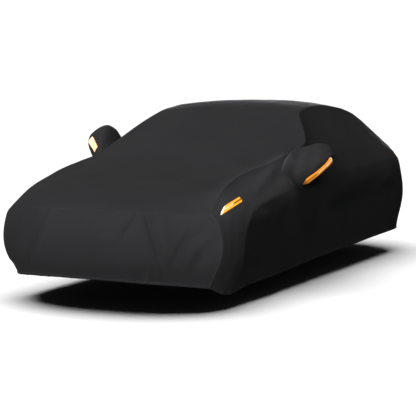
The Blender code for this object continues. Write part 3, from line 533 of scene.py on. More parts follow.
def fine_surface():
    """The panels' outer points, their normals, and how far folds lift each point."""
    sections = sections_at(np.linspace(SECTIONS[0].y, SECTIONS[-1].y, PLACES_ALONG))
    across = columns_across(COLUMNS)
    front_across = columns_across(COLUMNS * FRONT_FINER)
    down = down_lines(DOWN_LINES)
    left = side_grid(sections, down, LEFT)
    right = side_grid(sections, down, RIGHT)
    grids = {
        "top_panel": top_grid(sections, across),
        "left_panel": left,
        "right_panel": right,
        "front_panel": end_grid(FRONT_ROWS, left[0], right[0], front_across, down),
        "rear_panel": end_grid(REAR_ROWS, left[-1], right[-1], across, down),
    }
    tuck_corner(grids)
    normals = {name: outward_normals(grid, FACING[name]) for name, grid in grids.items()}
    share_seam_normals(grids, normals)
    level_between(grids["front_panel"][0], FRONT_FINER)
    level_between(normals["front_panel"][0], FRONT_FINER)
    outer = {}
    folds = {}
    for name, grid in grids.items():
        rise = crease_rise(grid) + slack_rise(grid)
        if name in HEM_AXES:
            down_axis, along_axis, seed = HEM_AXES[name]
            length = run_length(grid, down_axis)
            above = np.take(length, [-1], axis=down_axis) - length
            along = np.take(run_length(grid, along_axis), [-1], axis=down_axis)
            rise = rise + hem_gather(along, above, seed)
        folds[name] = rise
        outer[name] = grid + normals[name] * rise[..., None]
    level_between(outer["front_panel"][0], FRONT_FINER)
    fine = {name: outward_normals(grid, FACING[name]) for name, grid in outer.items()}
    share_seam_normals(outer, fine)
    level_between(fine["front_panel"][0], FRONT_FINER)
    return outer, fine, folds


# ---------------------------------------------------------------- meshes

LAYERS = {"lay": ("FLOAT_VECTOR", "vector"), "worn": ("FLOAT", "value"), "tint": ("FLOAT_COLOR", "color")}


def quads(rows, columns, closed=False):
    index = np.arange(rows * columns).reshape(rows, columns)
    after = np.roll(index, -1, axis=1) if closed else index[:, 1:]
    first = index if closed else index[:, :-1]
    return np.stack([first[:-1], first[1:], after[1:], after[:-1]], axis=-1).reshape(-1, 4)


def tree_of(*grids, closed=False):
    """The faces of some grids, to cast rays at."""
    points = []
    triangles = []
    for grid in grids:
        faces = quads(*grid.shape[:2], closed=closed)
        halves = np.concatenate([faces[:, [0, 1, 2]], faces[:, [0, 2, 3]]])
        triangles += (halves + sum(map(len, points))).tolist()
        points.append(grid.reshape(-1, 3))
    return BVHTree.FromPolygons([tuple(p) for p in np.concatenate(points)], triangles)


def lay_of(grid, first, second):
    """Each point's place on the flat cloth, measured along two directions of a grid."""
    return np.stack([run_length(grid, first), run_length(grid, second), 0 * grid[..., 0]], axis=-1)


def add_object(name, data):
    obj = bpy.data.objects.new(name, data)
    bpy.context.scene.collection.objects.link(obj)
    return obj


def add_mesh(name, points, faces, material, **layers):
    """lay is each point's place on the flat cloth. The fold layer is how far a point stands out, lighter
    where rubbed, and how far it sinks into a crease, darker there as painted shade. The colour layer is a
    strip's orange with painted glare and painted shade."""
    mesh = bpy.data.meshes.new(name)
    placed = np.asarray(points, float).reshape(-1, 3) - np.array(ROOF_REST)
    mesh.from_pydata(placed.tolist(), [], [[int(i) for i in face] for face in faces])
    mesh.polygons.foreach_set("use_smooth", [True] * len(mesh.polygons))
    mesh.materials.append(material)
    for layer, values in layers.items():
        kind, field = LAYERS[layer]
        made = mesh.attributes.new(layer, kind, "POINT")
        made.data.foreach_set(field, np.asarray(values, np.float32).reshape(-1))
    mesh.update()
    return add_object(name, mesh)


def thicken(obj, thickness):
    modifier = obj.modifiers.new("thickness", "SOLIDIFY")
    modifier.thickness = thickness
    modifier.offset = -1.0
    return obj


def swept(name, loops, material):
    """A closed tube through loops of points, capped at both ends."""
    count, sides = loops.shape[:2]
    faces = quads(count, sides, closed=True).tolist()
    faces.append(list(range(sides)))
    faces.append(list(range(count * sides - 1, (count - 1) * sides - 1, -1)))
    along = run_length(loops[:, :1], 0)
    around = run_length(loops, 1)
    lay = np.stack([np.broadcast_to(along, around.shape), around, 0 * around], axis=-1)
    return add_mesh(name, loops, faces, material, lay=lay)


def resampled(step, *rows):
    """Rows of points that go together, at an even step along the first."""
    run = run_length(rows[0], 0)
    at = np.linspace(0, run[-1], max(int(round(run[-1] / step)), 2) + 1)
    return at, [np.stack([np.interp(at, run, row[:, k]) for k in range(3)], axis=-1) for row in rows]


# ---------------------------------------------------------------- seams, hems and stitches

STITCH_PITCH = 0.008
STITCH_LENGTH = 0.0052
STITCH_WIDTH = 0.0011
STITCH_HEIGHT = 0.0006
STITCH_STOPS = ((-0.5, 0.45), (-0.3, 1.0), (0.3, 1.0), (0.5, 0.45))   # along it, and how full
SEAM_STEP = 0.012
SEAM_HALF = 0.0060          # half the width of a seam's fold of cloth
SEAM_HEIGHT = 0.0008
SEAM_PROFILE = ((1.00, -0.45), (0.94, 0.55), (0.62, 0.95), (0.25, 0.98))   # shares of those two
SEAM_STITCHES = (0.0036, SEAM_HEIGHT * 0.98)   # a row's distance from the edge, and its height
HEM_STEP = 0.005
HEM_STITCHES = (0.0185, 0.0012)
POCKET_STITCHES = (0.0050, 0.0008)

# Round the elastic's channel: above the edge, out of the cloth, and the share of the gathers.
HEM_PROFILE = (
    (0.0212, -0.0006, 0.0), (0.0203, 0.0009, 0.2), (0.0180, 0.0011, 0.3), (0.0140, 0.0021, 1.0),
    (0.0085, 0.0028, 1.0), (0.0030, 0.0024, 0.9), (-0.0008, 0.0008, 0.5), (-0.0012, -0.0022, 0.2),
    (0.0020, -0.0042, 0.6), (0.0080, -0.0048, 0.8), (0.0140, -0.0042, 0.7), (0.0195, -0.0028, 0.2),
    (0.0212, -0.0020, 0.0),
)

# Each edge as the part of a panel's grid on it, and the part next to it.
EDGE = {
    "first_row": ((0, slice(None)), (1, slice(None))),
    "last_row": ((-1, slice(None)), (-2, slice(None))),
    "first_column": ((slice(None), 0), (slice(None), 1)),
    "last_column": ((slice(None), -1), (slice(None), -2)),
}
SEAMS = (
    ("left_rail_seam", "top_panel", "last_column", "left_panel", "first_column"),
    ("right_rail_seam", "top_panel", "first_column", "right_panel", "first_column"),
    ("front_seam", "top_panel", "first_row", "front_panel", "first_row"),
    ("rear_seam", "top_panel", "last_row", "rear_panel", "first_row"),
    ("front_left_seam", "front_panel", "last_column", "left_panel", "first_row"),
    ("front_right_seam", "front_panel", "first_column", "right_panel", "first_row"),
    ("rear_left_seam", "rear_panel", "last_column", "left_panel", "last_row"),
    ("rear_right_seam", "rear_panel", "first_column", "right_panel", "last_row"),
)
HEMS = (
    ("front_hem", "front_panel", "last_row"),
    ("left_hem", "left_panel", "last_column"),
    ("right_hem", "right_panel", "last_column"),
    ("rear_hem", "rear_panel", "last_row"),
)


def edge_of(outer, panel, edge):
    """A panel's edge, and the way from each of its points into the panel."""
    at, inner = EDGE[edge]
    return outer[panel][at], unit(outer[panel][inner] - outer[panel][at])


def stitches(path, into, out, row, height):
    """Stitches along a path: sixteen points each, low prisms that lie in the cloth."""
    _, (path, into, out) = resampled(STITCH_PITCH, path, into, out)
    into, out = unit(into), unit(out)
    along = unit(np.gradient(path, axis=0))
    middle = path + into * row + out * height
    points = []
    for end, full in STITCH_STOPS:
        centre = middle + along * STITCH_LENGTH * end
        low = -out * STITCH_HEIGHT
        high = out * STITCH_HEIGHT * full * 0.6
        wide = into * STITCH_WIDTH / 2 * full
        points += [centre + low - wide, centre + high - wide * 0.6]
        points += [centre + high + wide * 0.6, centre + low + wide]
    return np.stack(points, axis=1)


STITCH_FACES = [(0, 1, 2, 3), (15, 14, 13, 12)]
for k in range(0, 12, 4):
    for a, b in ((0, 1), (1, 2), (2, 3), (3, 0)):
        STITCH_FACES.append((k + a, k + a + 4, k + b + 4, k + b))


def add_stitches(name, groups, material):
    points = np.concatenate(groups)
    faces = np.array(STITCH_FACES)[None] + 16 * np.arange(len(points))[:, None, None]
    return add_mesh(name, points, faces.reshape(-1, 4), material)


def square_to(along, into, out):
    """The way out of the cloth on one side of an edge."""
    way = np.cross(along, into)
    return unit(way * np.sign((way * out).sum(axis=-1, keepdims=True)))


def seam_loops(outer, normals, first, first_edge, second, second_edge):
    """Loops round a seam's fold of cloth, and each side's path, way in and way out."""
    path, into_first = edge_of(outer, first, first_edge)
    _, into_second = edge_of(outer, second, second_edge)
    into_second = into_second[:: (len(into_second) - 1) // (len(path) - 1)]
    out = normals[first][EDGE[first_edge][0]]
    _, (path, into_first, into_second, out) = resampled(SEAM_STEP, path, into_first, into_second, out)
    into_first, into_second, out = unit(into_first), unit(into_second), unit(out)
    along = unit(np.gradient(path, axis=0))
    sides = [(into, square_to(along, into, out)) for into in (into_first, into_second)]
    loops = []
    for (into, up), profile in zip(sides, (SEAM_PROFILE, SEAM_PROFILE[::-1])):
        for away, height in profile:
            way = up if away > 0.5 else out
            loops.append(path + into * SEAM_HALF * away + way * SEAM_HEIGHT * height)
    return np.stack(loops, axis=1), [(path, into, up) for into, up in sides]


def hem_loops(outer, normals, panel, edge):
    """Loops round the elastic's channel, and the hem's path, way in and way out."""
    path, into = edge_of(outer, panel, edge)
    out = normals[panel][EDGE[edge][0]]
    at, (path, into, out) = resampled(HEM_STEP, path, into, out)
    into, out = unit(into), unit(out)
    out = square_to(unit(np.gradient(path, axis=0)), into, out)
    seed = HEM_AXES[panel][2]
    wander = at + 0.006 * np.sin(at * 31.0 + seed)
    gather = 0.0006 * np.sin(wander * 205.0 + seed) + 0.0004 * np.sin(wander * 131.0)
    loops = [
        path + into * above + out * (away + share * (1 if away > 0 else -1) * gather[:, None])
        for above, away, share in HEM_PROFILE
    ]
    return np.stack(loops, axis=1), (path, into, out)


# ---------------------------------------------------------------- panels

WEAR_AND_SHADE_RISE = 0.008           # a fold that stands out this far is rubbed lightest, and a crease sunk this far gets the darkest painted shade


def out_at(tree, side, y, z):
    """How far out a side panel's outer face lies at places along the car and in height, and
    nought beyond the panel."""
    way = Vector((-side, 0, 0))
    hits = [tree.ray_cast(Vector((2.0 * side, a, b)), way)[0] for a, b in zip(y, z)]
    return np.array([abs(hit.x) if hit else 0.0 for hit in hits])


def open_neck(points, faces, side, tree):
    """Takes a pocket's neck out of a side panel, and draws the cut edge onto the oval."""
    middle = np.array([NECK.front + NECK.back, NECK.low + NECK.high]) / 2
    reach = np.array([NECK.back - NECK.front, NECK.high - NECK.low]) / 2 + POCKET_HOLE_EDGE
    share = (points[:, 1:] - middle) / reach
    away = np.hypot(*share.T)
    inside = (away[faces] < 1.0).sum(axis=1) >= 2
    kept = faces[~inside]
    rim = np.intersect1d(faces[inside].ravel(), kept.ravel())
    points = points.copy()
    for i in rim:
        y, z = middle + share[i] / away[i] * reach
        points[i] = (side * out_at(tree, side, [y], [z])[0], y, z)
    used = np.unique(kept)
    renumber = np.full(len(points), -1)
    renumber[used] = np.arange(len(used))
    return points[used], renumber[kept], used


def add_panel(name, grid, folds, material, tree):
    """A panel's sheet, with a hole for the pocket on a side panel."""
    points = grid.reshape(-1, 3)
    lay = lay_of(grid, 0, 1).reshape(-1, 3)
    # How far each point stands out or sinks in: rubbed lighter on folds, painted shade in creases.
    worn = np.clip(folds.reshape(-1) / WEAR_AND_SHADE_RISE, -1, 1)
    faces = quads(*grid.shape[:2])[:, :: FACING[name]]
    if name in SIDE_OF:
        points, faces, used = open_neck(points, faces, SIDE_OF[name], tree)
        lay, worn = lay[used], worn[used]
    return thicken(add_mesh(name + "_cloth", points, faces, material, lay=lay, worn=worn), CLOTH)


# ---------------------------------------------------------------- pockets

POCKETS = (("left_mirror_pocket", LEFT, "left_panel"), ("right_mirror_pocket", RIGHT, "right_panel"))
POCKET_SIDES = 96
POCKET_STEPS = 7
POCKET_INSIDE = -0.0004     # how far a pocket's turned-in edge starts under the panel
POCKET_UNDER = 0.0006       # its hidden layer over the panel, out to the fold of its edge
POCKET_LIFT = 0.0022        # and its outer face over the panel, from the fold on
POCKET_TURN = ((0.0, POCKET_UNDER), (0.0010, 0.0011), (0.0010, 0.0018))   # the fold: out, and up
POCKET_BLEND = 0.006        # how softly it comes away from the panel
POCKET_FOLD = POCKET_STEPS + 4   # the first row of the outer face
TIP_TURNS = (0.12, 0.26, 0.42, 0.60, 0.78, 0.92)   # shares of the quarter turn that rounds the tip
POCKET_WAVES = (Wave(31.0, 44.0, -37.0, 0.0010, 0.0), Wave(-61.0, 72.0, 55.0, 0.0008, 1.0))
POCKET_HEART = 0.9          # how far from the car's middle is the place that the waves push from
POCKET_CALM = 3             # the rows past the fold that they leave smooth
POCKET_WAKING = 6.0         # and the rows over which they then set in


def oval(ring, grow=0.0):
    """A ring's places along the car and in height."""
    turn = np.arange(POCKET_SIDES) * 2 * math.pi / POCKET_SIDES
    y = (ring.front + ring.back) / 2 + ((ring.back - ring.front) / 2 + grow) * np.cos(turn)
    z = (ring.low + ring.high) / 2 + ((ring.high - ring.low) / 2 + grow) * np.sin(turn)
    return y + ring.push * np.sin(turn), z


def pocket_loops(side, tree):
    """A pocket's outer skin, from its turned-in edge round the neck out to its tip."""
    y, z = oval(NECK)
    reach = out_at(tree, side, y, z)
    loops = [np.stack([side * (reach + lift), y, z], axis=-1) for lift in (POCKET_INSIDE, POCKET_UNDER)]
    table = np.array(POCKET_RINGS[side])
    count = (len(table) - 1) * POCKET_STEPS + 1
    rings = [Ring(*row) for row in smooth(np.arange(len(table)), table, np.arange(count) / POCKET_STEPS)]
    course = [(ring, 0.0, POCKET_UNDER) for ring in rings[1:POCKET_STEPS]]
    course += [(rings[POCKET_STEPS], grow, lift) for grow, lift in POCKET_TURN]
    course += [(ring, 0.0, POCKET_LIFT) for ring in rings[POCKET_STEPS:]]
    for ring, grow, lift in course:
        y, z = oval(ring, grow)
        on_panel = out_at(tree, side, y, z) + lift
        if lift == POCKET_LIFT:
            on_panel += POCKET_BLEND * np.logaddexp(0, (ring.out - on_panel) / POCKET_BLEND)
        loops.append(np.stack([side * np.maximum(on_panel, ring.out - POCKET_LIFT + lift), y, z], axis=-1))
    tip_x, tip_y, tip_z = POCKET_TIPS[side]
    tip = np.array([side * tip_x, tip_y, tip_z])
    last = loops[-1]
    depth = abs(tip[0] - last[0, 0])
    for turn in TIP_TURNS:
        ring = last + (tip - last) * (1 - math.cos(turn * math.pi / 2))
        ring[:, 0] = last[:, 0] + side * depth * math.sin(turn * math.pi / 2)
        loops.append(ring)
    return np.stack(loops), tip


def add_pocket(name, side, tree, material):
    """A pocket with its tip closed, and its loops."""
    loops, tip = pocket_loops(side, tree)
    rows = len(loops)
    rise = sum(wave.height * np.sin(loops @ np.array(wave[:3]) + wave.phase) for wave in POCKET_WAVES)
    fade = np.clip((np.arange(rows) - POCKET_FOLD - POCKET_CALM) / POCKET_WAKING, 0, 1)[:, None]
    centre = np.array([side * POCKET_HEART, loops[..., 1].mean(), loops[..., 2].mean()])
    loops = loops + unit(loops - centre) * (rise * fade)[..., None]
    points = np.concatenate([loops.reshape(-1, 3), tip[None]])
    faces = quads(rows, POCKET_SIDES, closed=True).tolist()
    last = (rows - 1) * POCKET_SIDES
    faces += [(last + k, last + POCKET_SIDES, last + (k + 1) % POCKET_SIDES) for k in range(POCKET_SIDES)]
    faces = [face[::-side] for face in faces]
    lay = lay_of(loops, 1, 0).reshape(-1, 3)
    lay = np.concatenate([lay, lay[-1:]])
    obj = add_mesh(name, points, faces, material, lay=lay, worn=np.zeros(len(points)))
    return thicken(obj, CLOTH), loops


def pocket_edge(loops, side):
    """The fold of a pocket's edge, for its stitches: its path, the way in and the way out."""
    rim, inner = (np.concatenate([loops[row], loops[row][:1]]) for row in (POCKET_FOLD, POCKET_FOLD + 1))
    into = unit(inner - rim)
    return rim, into, unit(np.cross(np.gradient(rim, axis=0), into) * side)


# ---------------------------------------------------------------- reflective strips

STRIP_ROWS = 110
STRIP_COLUMNS = 22
STRIP_DEEP = 0.0008
STRIP_CROWN = 0.0004        # how much a strip's middle stands over its edges
STRIP_CLOSER = 0.35         # how much closer its rows are near its ends
STRIP_POINT = 0.03          # the share of its width that is left at its very ends
SIGHT = 0.15                # how far over the cloth a strip's rays start
SIGHT_END = 0.22            # how far they may go until they have missed it
SIGHT_NEAR = 0.02           # and from how far over it the nearest cloth is then looked for
ORANGE = (1.0, 0.34, 0.018)
# Painted glare: the pale colour where the tape shines.
PAINTED_GLARE = (1.0, 0.86, 0.62)
GREY = (0.42, 0.40, 0.38)
# Painted shade: the dark colour where the tape lies in shade.
PAINTED_SHADE = (0.10, 0.030, 0.010)

# first and last are the ends of a strip's middle line, and start and end are the shares of its
# length over which it tapers to a point or is rounded off. slant is how askew its first end is
# cut, in metres along it. The ends and facings are near those of the solids.
Strip = namedtuple("Strip", "name on first last facing width slant lift start end look")
STRIPS = (
    Strip("front_left_strip", "left_panel", (0.850, -1.816, 0.728), (0.855, -1.490, 0.790),
          (0.80, -0.12, 0.58), 0.040, 0.110, 0.0019, 0.05, 0.03, "pronged"),
    Strip("front_right_strip", "right_panel", (-0.850, -1.812, 0.729), (-0.855, -1.482, 0.792),
          (-0.80, -0.12, 0.58), 0.040, -0.110, 0.0019, 0.05, 0.03, "pronged"),
    Strip("left_mirror_strip", "left_mirror_pocket", (1.086, -0.285, 1.016), (0.938, -0.516, 0.828),
          (0.60, -0.78, -0.15), 0.054, 0.0, 0.0022, 0.05, 0.18, "banded"),
    Strip("right_mirror_strip", "right_mirror_pocket", (-1.033, -0.410, 1.121),
          (-0.916, -0.511, 1.040), (0.10, -0.98, 0.10), 0.066, 0.0, 0.0022, 0.04, 0.03, "glare_washed"),
    Strip("rear_left_strip", "left_panel", (0.838, 1.975, 0.902), (0.600, 2.330, 0.880),
          (0.75, 0.65, 0.15), 0.050, 0.0, 0.0018, 0.05, 0.08, "glare_washed"),
    Strip("rear_right_strip", "right_panel", (-0.838, 1.970, 0.902), (-0.600, 2.330, 0.880),
          (-0.75, 0.65, 0.15), 0.050, 0.0, 0.0018, 0.05, 0.08, "glare_washed"),
)


def end_share(at, taper, power):
    """How wide a strip still is near its end, where at is the distance from the end."""
    inside = np.clip(at / taper, 0, 1)
    return np.clip(1 - (1 - inside) ** power, 0, 1) ** (1 / power if power > 1 else 1)


def until(value, limit, soft):
    """1, fading to 0 just before a limit."""
    return np.clip((limit - value) / soft, 0, 1)


def past(value, limit, soft):
    """0, rising to 1 just past a limit."""
    return np.clip((value - limit) / soft, 0, 1)


def strip_tint(look, along, across):
    """The colour of a strip's bands, at shares of its length and of its width from -1 to 1: the tape's
    orange, with pale bands of painted glare and dark bands of painted shade.
    """
    edge = abs(across)
    if look == "banded":
        bands = (
            (PAINTED_GLARE, until(edge, 0.20, 0.06) * until(along, 0.60, 0.10)),
            (PAINTED_SHADE, until(edge, 0.26, 0.08) * past(along, 0.50, 0.10)),
            (PAINTED_GLARE, until(along, 0.05, 0.03)),
            (PAINTED_SHADE, past(along, 0.84, 0.10) * 0.8),
        )
    elif look == "pronged":
        bands = (
            (GREY, until(edge, 0.20, 0.07)),
            (PAINTED_GLARE, until(along, 0.14, 0.06)),
            (PAINTED_SHADE, until(edge, 0.32, 0.08) * past(along, 0.55, 0.10)),
        )
    else:
        # A strip washed almost wholly in painted glare, with a grey middle and orange edges.
        bands = (
            (PAINTED_GLARE, 0.60 + 0.15 * until(abs(edge - 0.45), 0.3, 0.1)),
            (GREY, until(edge, 0.07, 0.04) * 0.35),
            (ORANGE, past(edge, 0.86, 0.06) * 0.7),
        )
    tint = np.broadcast_to(np.array(ORANGE), (*edge.shape, 3))
    for colour, share in bands:
        share = share[..., None]
        tint = tint * (1 - share) + np.array(colour) * share
    return np.concatenate([tint, np.ones((*edge.shape, 1))], axis=-1)


def add_strip(strip, tree, material):
    """A strip laid on the cloth along rays that come from the side it faces, and its points."""
    first, last, facing = (np.array(place) for place in (strip.first, strip.last, strip.facing))
    run = last - first
    facing = unit(facing)
    wide_way = unit(np.cross(facing, run)) * strip.width
    along = np.linspace(0, 1, STRIP_ROWS + 1)
    along = (along - STRIP_CLOSER * np.sin(2 * math.pi * along) / (2 * math.pi))[:, None]
    across = np.linspace(-1, 1, STRIP_COLUMNS + 1)[None, :]
    full = end_share(along, strip.start, 1.3 if strip.look == "pronged" else 2.0)
    full = full * end_share(1 - along, strip.end, 1.4 if strip.look == "banded" else 2.0)
    half = (across * np.maximum(full, STRIP_POINT) / 2)[..., None]
    slant = (1 - along)[..., None] * unit(run) * strip.slant
    points = []
    for p in (first + along[..., None] * run + half * (wide_way + slant)).reshape(-1, 3):
        spot, normal, _, far = tree.ray_cast(Vector(p + facing * SIGHT), Vector(-facing))
        if spot is None or far > SIGHT_END:
            spot, normal, _, _ = tree.find_nearest(Vector(p + facing * SIGHT_NEAR))
        if normal.dot(Vector(facing)) < 0:
            normal = -normal
        points.append(spot + normal * strip.lift)
    grid = np.array(points).reshape(STRIP_ROWS + 1, STRIP_COLUMNS + 1, 3)
    out = unit(np.cross(np.gradient(grid, axis=0), np.gradient(grid, axis=1)))
    way = int(np.sign((out @ facing).sum()))
    grid = grid + way * out * ((1 - across**4) * STRIP_CROWN)[..., None]
    faces = quads(*grid.shape[:2])[:, ::way]
    # The tape's orange, with painted glare and painted shade in its bands.
    tint = strip_tint(strip.look, *np.broadcast_arrays(along, across))
    obj = add_mesh(strip.name + "_tape", grid, faces, material, lay=lay_of(grid, 0, 1), tint=tint)
    return thicken(obj, STRIP_DEEP), grid


# ---------------------------------------------------------------- materials

class Nodes:
    """The nodes of a material or a world. Each call adds one and gives what it puts out."""

    def __init__(self, owner):
        owner.use_nodes = True
        self.tree = owner.node_tree

    def fill(self, node, inputs):
        """Sets a node's inputs to values, or links them to what other nodes put out."""
        for name, value in inputs.items():
            if isinstance(value, bpy.types.NodeSocket):
                self.tree.links.new(value, node.inputs[name])
            else:
                node.inputs[name].default_value = value

    def add(self, kind, output, inputs=None, **settings):
        node = self.tree.nodes.new("ShaderNode" + kind)
        for name, value in settings.items():
            setattr(node, name, value)
        self.fill(node, inputs or {})
        return node.outputs[output]

    def attribute(self, name, output):
        return self.add("Attribute", output, attribute_name=name)

    def noise(self, place, scale, detail):
        inputs = {"Vector": place, "Scale": scale, "Detail": detail, "Roughness": 0.55}
        return self.add("TexNoise", "Fac", inputs)

    def ribs(self, place, direction, scale, distortion=0.0):
        inputs = {"Vector": place, "Scale": scale, "Distortion": distortion, "Detail": 1.0}
        return self.add("TexWave", "Fac", {**inputs, "Detail Scale": 2.0}, bands_direction=direction)

    def ranged(self, value, from_low, from_high, low, high):
        limits = {"From Min": from_low, "From Max": from_high, "To Min": low, "To Max": high}
        return self.add("MapRange", "Result", {"Value": value, **limits})

    def times(self, first, second):
        return self.add("Math", "Value", {0: first, 1: second}, operation="MULTIPLY")

    def scaled(self, colour, share):
        return self.add("VectorMath", "Vector", {0: colour, "Scale": share}, operation="SCALE")

    def ramp(self, value, *stops):
        """Colours that run from one stop to the next."""
        node = self.tree.nodes.new("ShaderNodeValToRGB")
        self.fill(node, {"Fac": value})
        for element, (position, colour) in zip(node.color_ramp.elements, stops):
            element.position = position
            element.color = (*colour, 1)
        return node.outputs["Color"]

    def bump(self, height, strength, distance, under=None):
        """A relief, over the one under it if there is one."""
        inputs = {"Height": height, "Strength": strength, "Distance": distance}
        if under:
            inputs["Normal"] = under
        return self.add("Bump", "Normal", inputs)


def new_material(name):
    material = bpy.data.materials.new(name)
    nodes = Nodes(material)
    return material, nodes, nodes.tree.nodes["Principled BSDF"]


def cloth_material(name, colour, sheen, roughness):
    """A close warp-knit stretch cloth: fine ribs across one another, with a soft bloom."""
    material, nodes, shader = new_material(name)
    lay = nodes.attribute("lay", "Vector")
    worn = nodes.attribute("worn", "Fac")
    place = nodes.add("TexCoord", "Object")
    knit = nodes.times(nodes.ribs(lay, "X", 200.0, 0.6), nodes.ribs(lay, "Y", 290.0, 0.4))
    broad = nodes.noise(place, 2.2, 3.0)
    mottle = nodes.noise(place, 38.0, 4.0)
    depth = nodes.times(
        nodes.ranged(broad, 0.3, 0.7, 0.93, 1.07), nodes.ranged(mottle, 0.3, 0.7, 0.955, 1.045)
    )
    depth = nodes.times(depth, nodes.ranged(knit, 0.0, 1.0, 0.86, 1.10))
    # Lighter on raised folds, as rubbed cloth is, and darker in creases, which is painted shade.
    depth = nodes.times(depth, nodes.ranged(worn, -1.0, 1.0, 0.93, 1.08))
    coarse = nodes.bump(nodes.noise(place, 26.0, 3.0), 0.35, 0.0008)
    fine = nodes.bump(knit, 0.45, 0.00035, coarse)
    fibres = nodes.bump(nodes.noise(lay, 900.0, 2.0), 0.25, 0.0002, fine)
    nodes.fill(shader, {
        "Base Color": nodes.scaled(colour, depth),
        "Roughness": nodes.ranged(mottle, 0.3, 0.7, roughness - 0.06, roughness + 0.06),
        "Sheen Weight": sheen,
        "Sheen Roughness": 0.45,
        "Specular IOR Level": 0.10,
        "Normal": fibres,
    })
    return material


def tape_material():
    """Woven reflective tape: glass beads under a clear face, coloured by its bands, whose pale bands are
    painted glare and dark bands painted shade. Its emission is a painted glow, though the tape is no lamp.
    """
    material, nodes, shader = new_material("reflective_tape_cloth")
    lay = nodes.attribute("lay", "Vector")
    beads = nodes.add("TexVoronoi", "Distance", {"Vector": lay, "Scale": 620.0})
    shade = nodes.ranged(beads, 0.0, 0.9, 1.04, 0.86)
    colour = nodes.scaled(nodes.attribute("tint", "Color"), shade)
    relief = nodes.bump(nodes.ribs(lay, "X", 240.0), 0.3, 0.0003, nodes.bump(beads, 0.35, 0.0003))
    nodes.fill(shader, {
        "Base Color": colour,
        "Roughness": 0.38,
        "Specular IOR Level": 0.5,
        "Coat Weight": 0.25,
        "Coat Roughness": 0.22,
        # A painted glow: the tape shines by its own emission, though it is no lamp.
        "Emission Color": colour,
        "Emission Strength": 0.75,
        "Normal": relief,
    })
    return material


def thread_material():
    material, nodes, shader = new_material("sewing_thread")
    place = nodes.add("TexCoord", "Object")
    twist = nodes.add("TexNoise", "Fac", {"Vector": place, "Scale": 700.0})
    colour = nodes.ramp(twist, (0.0, (0.016, 0.016, 0.018)), (1.0, (0.050, 0.050, 0.055)))
    nodes.fill(shader, {"Base Color": colour, "Roughness": 0.55, "Sheen Weight": 0.1})
    return material


def floor_material():
    material, nodes, shader = new_material("studio_floor")
    nodes.fill(shader, {"Base Color": (0.90, 0.90, 0.90, 1), "Roughness": 0.7, "Specular IOR Level": 0.1})
    return material


# ---------------------------------------------------------------- floor, lights and camera

FLOOR_HALF = 220.0
CAMERA_PLACE = (5.524, -12.197, 0.442)
CAMERA_YAW = 25.81
CAMERA_PITCH = 5.86
CAMERA_LENS = 134.05


def add_floor():
    mesh = bpy.data.meshes.new("studio_floor")
    corners = [(x * FLOOR_HALF, y * FLOOR_HALF, 0) for x, y in ((-1, -1), (1, -1), (1, 1), (-1, 1))]
    mesh.from_pydata(corners, [], [(0, 1, 2, 3)])
    mesh.materials.append(floor_material())
    floor = add_object("studio_floor", mesh)
    floor.location = (0, 0, GROUND_Z)
    floor.visible_diffuse = False
    floor.visible_glossy = False
    return floor


def add_world(above, below):
    """White behind the set, and a dim sky and ground that light the cloth."""
    world = bpy.data.worlds.new("studio_world")
    bpy.context.scene.world = world
    nodes = Nodes(world)
    height = nodes.add("SeparateXYZ", "Z", {"Vector": nodes.add("TexCoord", "Generated")})
    scaled = nodes.ranged(height, -1.0, 1.0, 0.0, 1.0)
    grey = nodes.ramp(scaled, (0.46, (below,) * 3), (0.54, (above,) * 3))
    dim = nodes.tree.nodes["Background"]
    nodes.fill(dim, {"Color": grey})
    white = nodes.add("Background", "Background", {"Color": (1.05, 1.05, 1.05, 1)})
    seen = nodes.add("LightPath", "Is Camera Ray")
    chosen = nodes.add("MixShader", "Shader", {"Fac": seen, 1: dim.outputs["Background"], 2: white})
    nodes.fill(nodes.tree.nodes["World Output"], {"Surface": chosen})


def add_light(name, kind, energy, on, **settings):
    """A light that only falls on the pieces of a collection."""
    data = bpy.data.lights.new(name, kind)
    data.energy = energy
    for setting, value in settings.items():
        setattr(data, setting, value)
    light = add_object(name, data)
    light.light_linking.receiver_collection = on
    return light


def add_sun(name, around, height, level, angle, on):
    """A distant soft light. around is its bearing in degrees from the car's front towards its
    left side, height its degrees above the ground, and level the white that it gives a card
    facing it."""
    around, height = math.radians(around), math.radians(height)
    flat = math.cos(height)
    towards = Vector((math.sin(around) * flat, -math.cos(around) * flat, math.sin(height)))
    sun = add_light(name, "SUN", level * math.pi, on, angle=math.radians(angle))
    sun.rotation_euler = towards.to_track_quat("Z", "Y").to_euler()


def add_spot(name, place, aim, reach, blend, level, on):
    """A soft lamp near the cover, aimed at a place on it. reach is the radius of the lit round
    there, and level the white that it gives a card facing it."""
    away = Vector(place) - Vector(aim)
    lamp = add_light(
        name, "SPOT", level * 4 * (math.pi * away.length) ** 2, on,
        spot_size=2 * math.atan(reach / away.length), spot_blend=blend, shadow_soft_size=0.15,
    )
    lamp.location = Vector(place) - Vector(ROOF_REST)
    lamp.rotation_euler = away.to_track_quat("Z", "Y").to_euler()


def add_softbox(name, place, wide, long, spread, level, on):
    """A narrow soft box that hangs over the cover and shines straight down, out of the camera's
    sight. wide is across the car, long along it."""
    box = add_light(
        name, "AREA", level * math.pi * wide * long, on,
        shape="RECTANGLE", size=wide, size_y=long, spread=math.radians(spread),
    )
    box.location = Vector(place) - Vector(ROOF_REST)
    box.visible_camera = False


